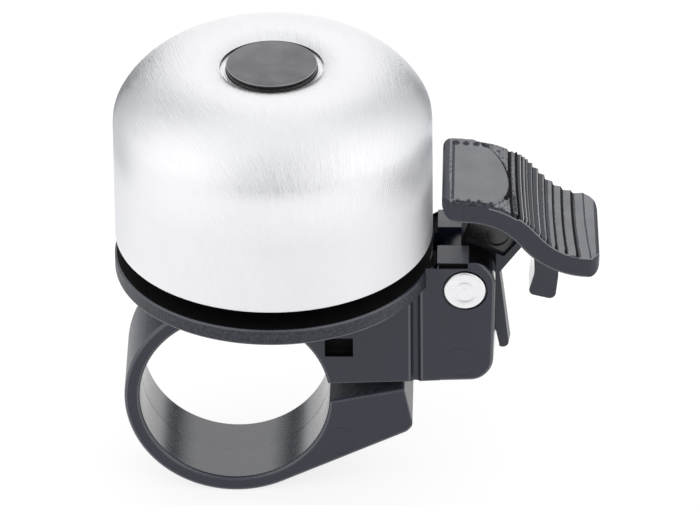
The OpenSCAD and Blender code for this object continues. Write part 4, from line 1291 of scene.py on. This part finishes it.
class BELL_OT_stage(bpy.types.Operator):
    """Camera, pale floor and soft light"""

    bl_idname = "bell.stage"
    bl_label = "Stage"

    # Softboxes, as place from the aim, width and height in metres, and radiance
    LAMPS = {
        "Back softbox": ((0, 0.75, 0.75), 0.5, 0.6, 0.06),
        "Left softbox": ((-0.7, -0.35, 0.35), 0.9, 0.7, 0.14),
        "Right softbox": ((0.7, -0.35, 0.35), 0.9, 0.7, 0.14),
    }

    # Screens, as azimuths from the camera, distance on the floor from which each starts in millimetres, upper
    # elevation, brightness, lower elevation, and distance as a share of the floor's radius
    FLAGS = {
        "front_flag": ((-16, 16), 130, 62, 0.42),
        "left_flag": ((-152, -123), 200, 26, 0.5),
        "left_high_flag": ((-141, -111), None, 60, 0.5, 26),
        "left_floor_flag": ((-162, -108), 70, 0, 0.65),
        "right_flag": ((123, 154), 200, 24, 0.66),
        "right_high_flag": ((112, 142), None, 50, 0.54, 24),
        "right_floor_flag": ((105, 168), 70, 0, 0.8),
        "left_low_flag": ((-158, -145), 90, 9, 0.05, 0, 0.7),
        "right_low_flag": ((145, 158), 90, 9, 0.05, 0, 0.7),
        "ceiling_flag": ((-130, 80), None, 90, 0.88, 66),
    }

    def execute(self, context):
        scene = context.scene
        stage = scene.bell_stage
        scene.view_settings.view_transform = "Standard"
        self.camera(scene, stage)
        self.world(scene)
        self.floor(stage)
        aim = Vector(stage.aim)
        for name, (place, width, height, radiance) in self.LAMPS.items():
            softbox(name, aim + Vector(place), aim, width, height, radiance)
        for name, settings in self.FLAGS.items():
            self.flag(name, stage, *settings)
        return {"FINISHED"}

    def camera(self, scene, stage):
        """Camera at the photograph's viewing angle."""
        a, e, r = stage.azimuth, stage.elevation, stage.roll
        ahead = Vector((math.sin(a) * math.cos(e), math.cos(a) * math.cos(e), -math.sin(e)))
        level = Vector((math.cos(a), -math.sin(a), 0))
        up = level.cross(ahead)
        right = level * math.cos(r) + up * math.sin(r)
        data = bpy.data.cameras.new("Camera")
        data.sensor_fit = "HORIZONTAL"
        data.sensor_width = 36
        data.lens = stage.lens
        data.clip_start = 0.01
        data.clip_end = 20
        obj = bpy.data.objects.new("Camera", data)
        turned = Matrix((right, right.cross(ahead), -ahead)).transposed().to_4x4()
        obj.matrix_world = Matrix.Translation(Vector(stage.aim) - ahead * stage.distance) @ turned
        scene.collection.objects.link(obj)
        scene.camera = obj

    def world(self, scene):
        """White studio, a little dimmer as a light than it looks."""
        lit, looks = 0.85, 1
        world = bpy.data.worlds.new("Studio")
        world.use_nodes = True
        tree = world.node_tree
        tree.nodes.clear()
        level = add(tree, "ShaderNodeMapRange", {"Value": seen(tree), "To Min": lit, "To Max": looks})
        sky = add(tree, "ShaderNodeBackground", {"Color": (1, 1, 1, 1), "Strength": level.outputs[0]})
        add(tree, "ShaderNodeOutputWorld", {"Surface": sky.outputs[0]})
        scene.world = world

    def floor(self, stage):
        """White paper that keeps the object's shadow, and is clear from below."""
        paper, glows = (0.3, 0.3, 0.3, 1), 0.8
        bm = bmesh.new()
        bmesh.ops.create_circle(bm, cap_ends=True, segments=64, radius=stage.floor_r,
                                matrix=Matrix.Translation((0, 0, CAD_BOX[0].z)))
        material, tree = new_material("White paper floor")
        glow = add(tree, "ShaderNodeMath", {0: seen(tree), 1: glows}, operation="MULTIPLY")
        shader = add(tree, "ShaderNodeBsdfPrincipled", {
            "Base Color": paper, "Roughness": 1, "Specular IOR Level": 0,
            "Emission Color": (1, 1, 1, 1), "Emission Strength": glow.outputs[0]})
        clear = add(tree, "ShaderNodeBsdfTransparent")
        back = add(tree, "ShaderNodeNewGeometry").outputs["Backfacing"]
        mix = add(tree, "ShaderNodeMixShader", {0: back, 1: shader.outputs[0], 2: clear.outputs[0]})
        add(tree, "ShaderNodeOutputMaterial", {"Surface": mix.outputs[0]})
        staged("floor", bm, material)

    def flag(self, name, stage, sides, near, top, level, foot=0, share=0.8):
        """Grey screen that only reflections see, and that draws the edges of the metal. It runs along the floor, if
        it starts there, and then up between two elevations."""
        cloth = (0.94, 0.97, 1, 1)
        aim = Vector(stage.aim)
        far = stage.floor_r * share
        floor = CAD_BOX[0].z + (0.9 - share) * 5 * MM  # a nearer screen lies over the others
        bm = bmesh.new()
        start = (far * math.cos(math.radians(foot)), aim.z + far * math.sin(math.radians(foot)))
        p = bm.verts.new((near * MM, 0, floor) if near else (start[0], 0, start[1]))
        if near:
            p = line(bm, p, far, floor)
            p = line(bm, p, start[0], start[1])
        arc(bm, p, (0, aim.z), top - foot, 24)
        bmesh.ops.rotate(bm, verts=bm.verts, matrix=Matrix.Rotation(math.radians(sides[0] - 90), 3, "Z"))
        bmesh.ops.spin(bm, geom=bm.verts[:] + bm.edges[:], cent=(0, 0, 0), axis=(0, 0, 1),
                       angle=math.radians(sides[1] - sides[0]), steps=24, use_merge=False)
        bmesh.ops.translate(bm, verts=bm.verts, vec=(aim.x, aim.y, 0))
        material, tree = new_material("Flag cloth " + name)
        glow = add(tree, "ShaderNodeEmission", {"Color": cloth, "Strength": level})
        add(tree, "ShaderNodeOutputMaterial", {"Surface": glow.outputs[0]})
        obj = staged(name, bm, material)
        obj.visible_camera = obj.visible_diffuse = obj.visible_shadow = obj.visible_transmission = False


class BELL_PT_panel(bpy.types.Panel):
    """Lists the pieces in the sidebar"""

    bl_idname = "BELL_PT_panel"
    bl_label = "Bicycle Bell"
    bl_space_type = "VIEW_3D"
    bl_region_type = "UI"
    bl_category = "Bell"

    def draw(self, context):
        for operator in OPERATORS:
            self.layout.operator(operator.bl_idname)


GROUPS = {"bell_sizes": BellSizes, "bell_pad": BellPad, "bell_finish": BellFinish, "bell_stage": BellStage}
OPERATORS = (BELL_OT_stage, BELL_OT_dome, BELL_OT_cap, BELL_OT_base_plate, BELL_OT_bracket, BELL_OT_lever,
             BELL_OT_tread, BELL_OT_hinge_pin, BELL_OT_fasteners)
CLASSES = (*GROUPS.values(), *OPERATORS, BELL_PT_panel)


def register():
    for kind in CLASSES:
        bpy.utils.register_class(kind)
    for name, group in GROUPS.items():
        setattr(bpy.types.Scene, name, PointerProperty(type=group))


def unregister():
    for name in GROUPS:
        delattr(bpy.types.Scene, name)
    for kind in reversed(CLASSES):
        bpy.utils.unregister_class(kind)


def main():
    register()
    bpy.ops.bell.stage()
    bpy.ops.bell.dome()
    bpy.ops.bell.cap()
    bpy.ops.bell.base_plate()
    bpy.ops.bell.bracket()
    bpy.ops.bell.lever()
    bpy.ops.bell.tread()
    bpy.ops.bell.hinge_pin()
    bpy.ops.bell.fasteners()


if __name__ == "__main__":
    main()
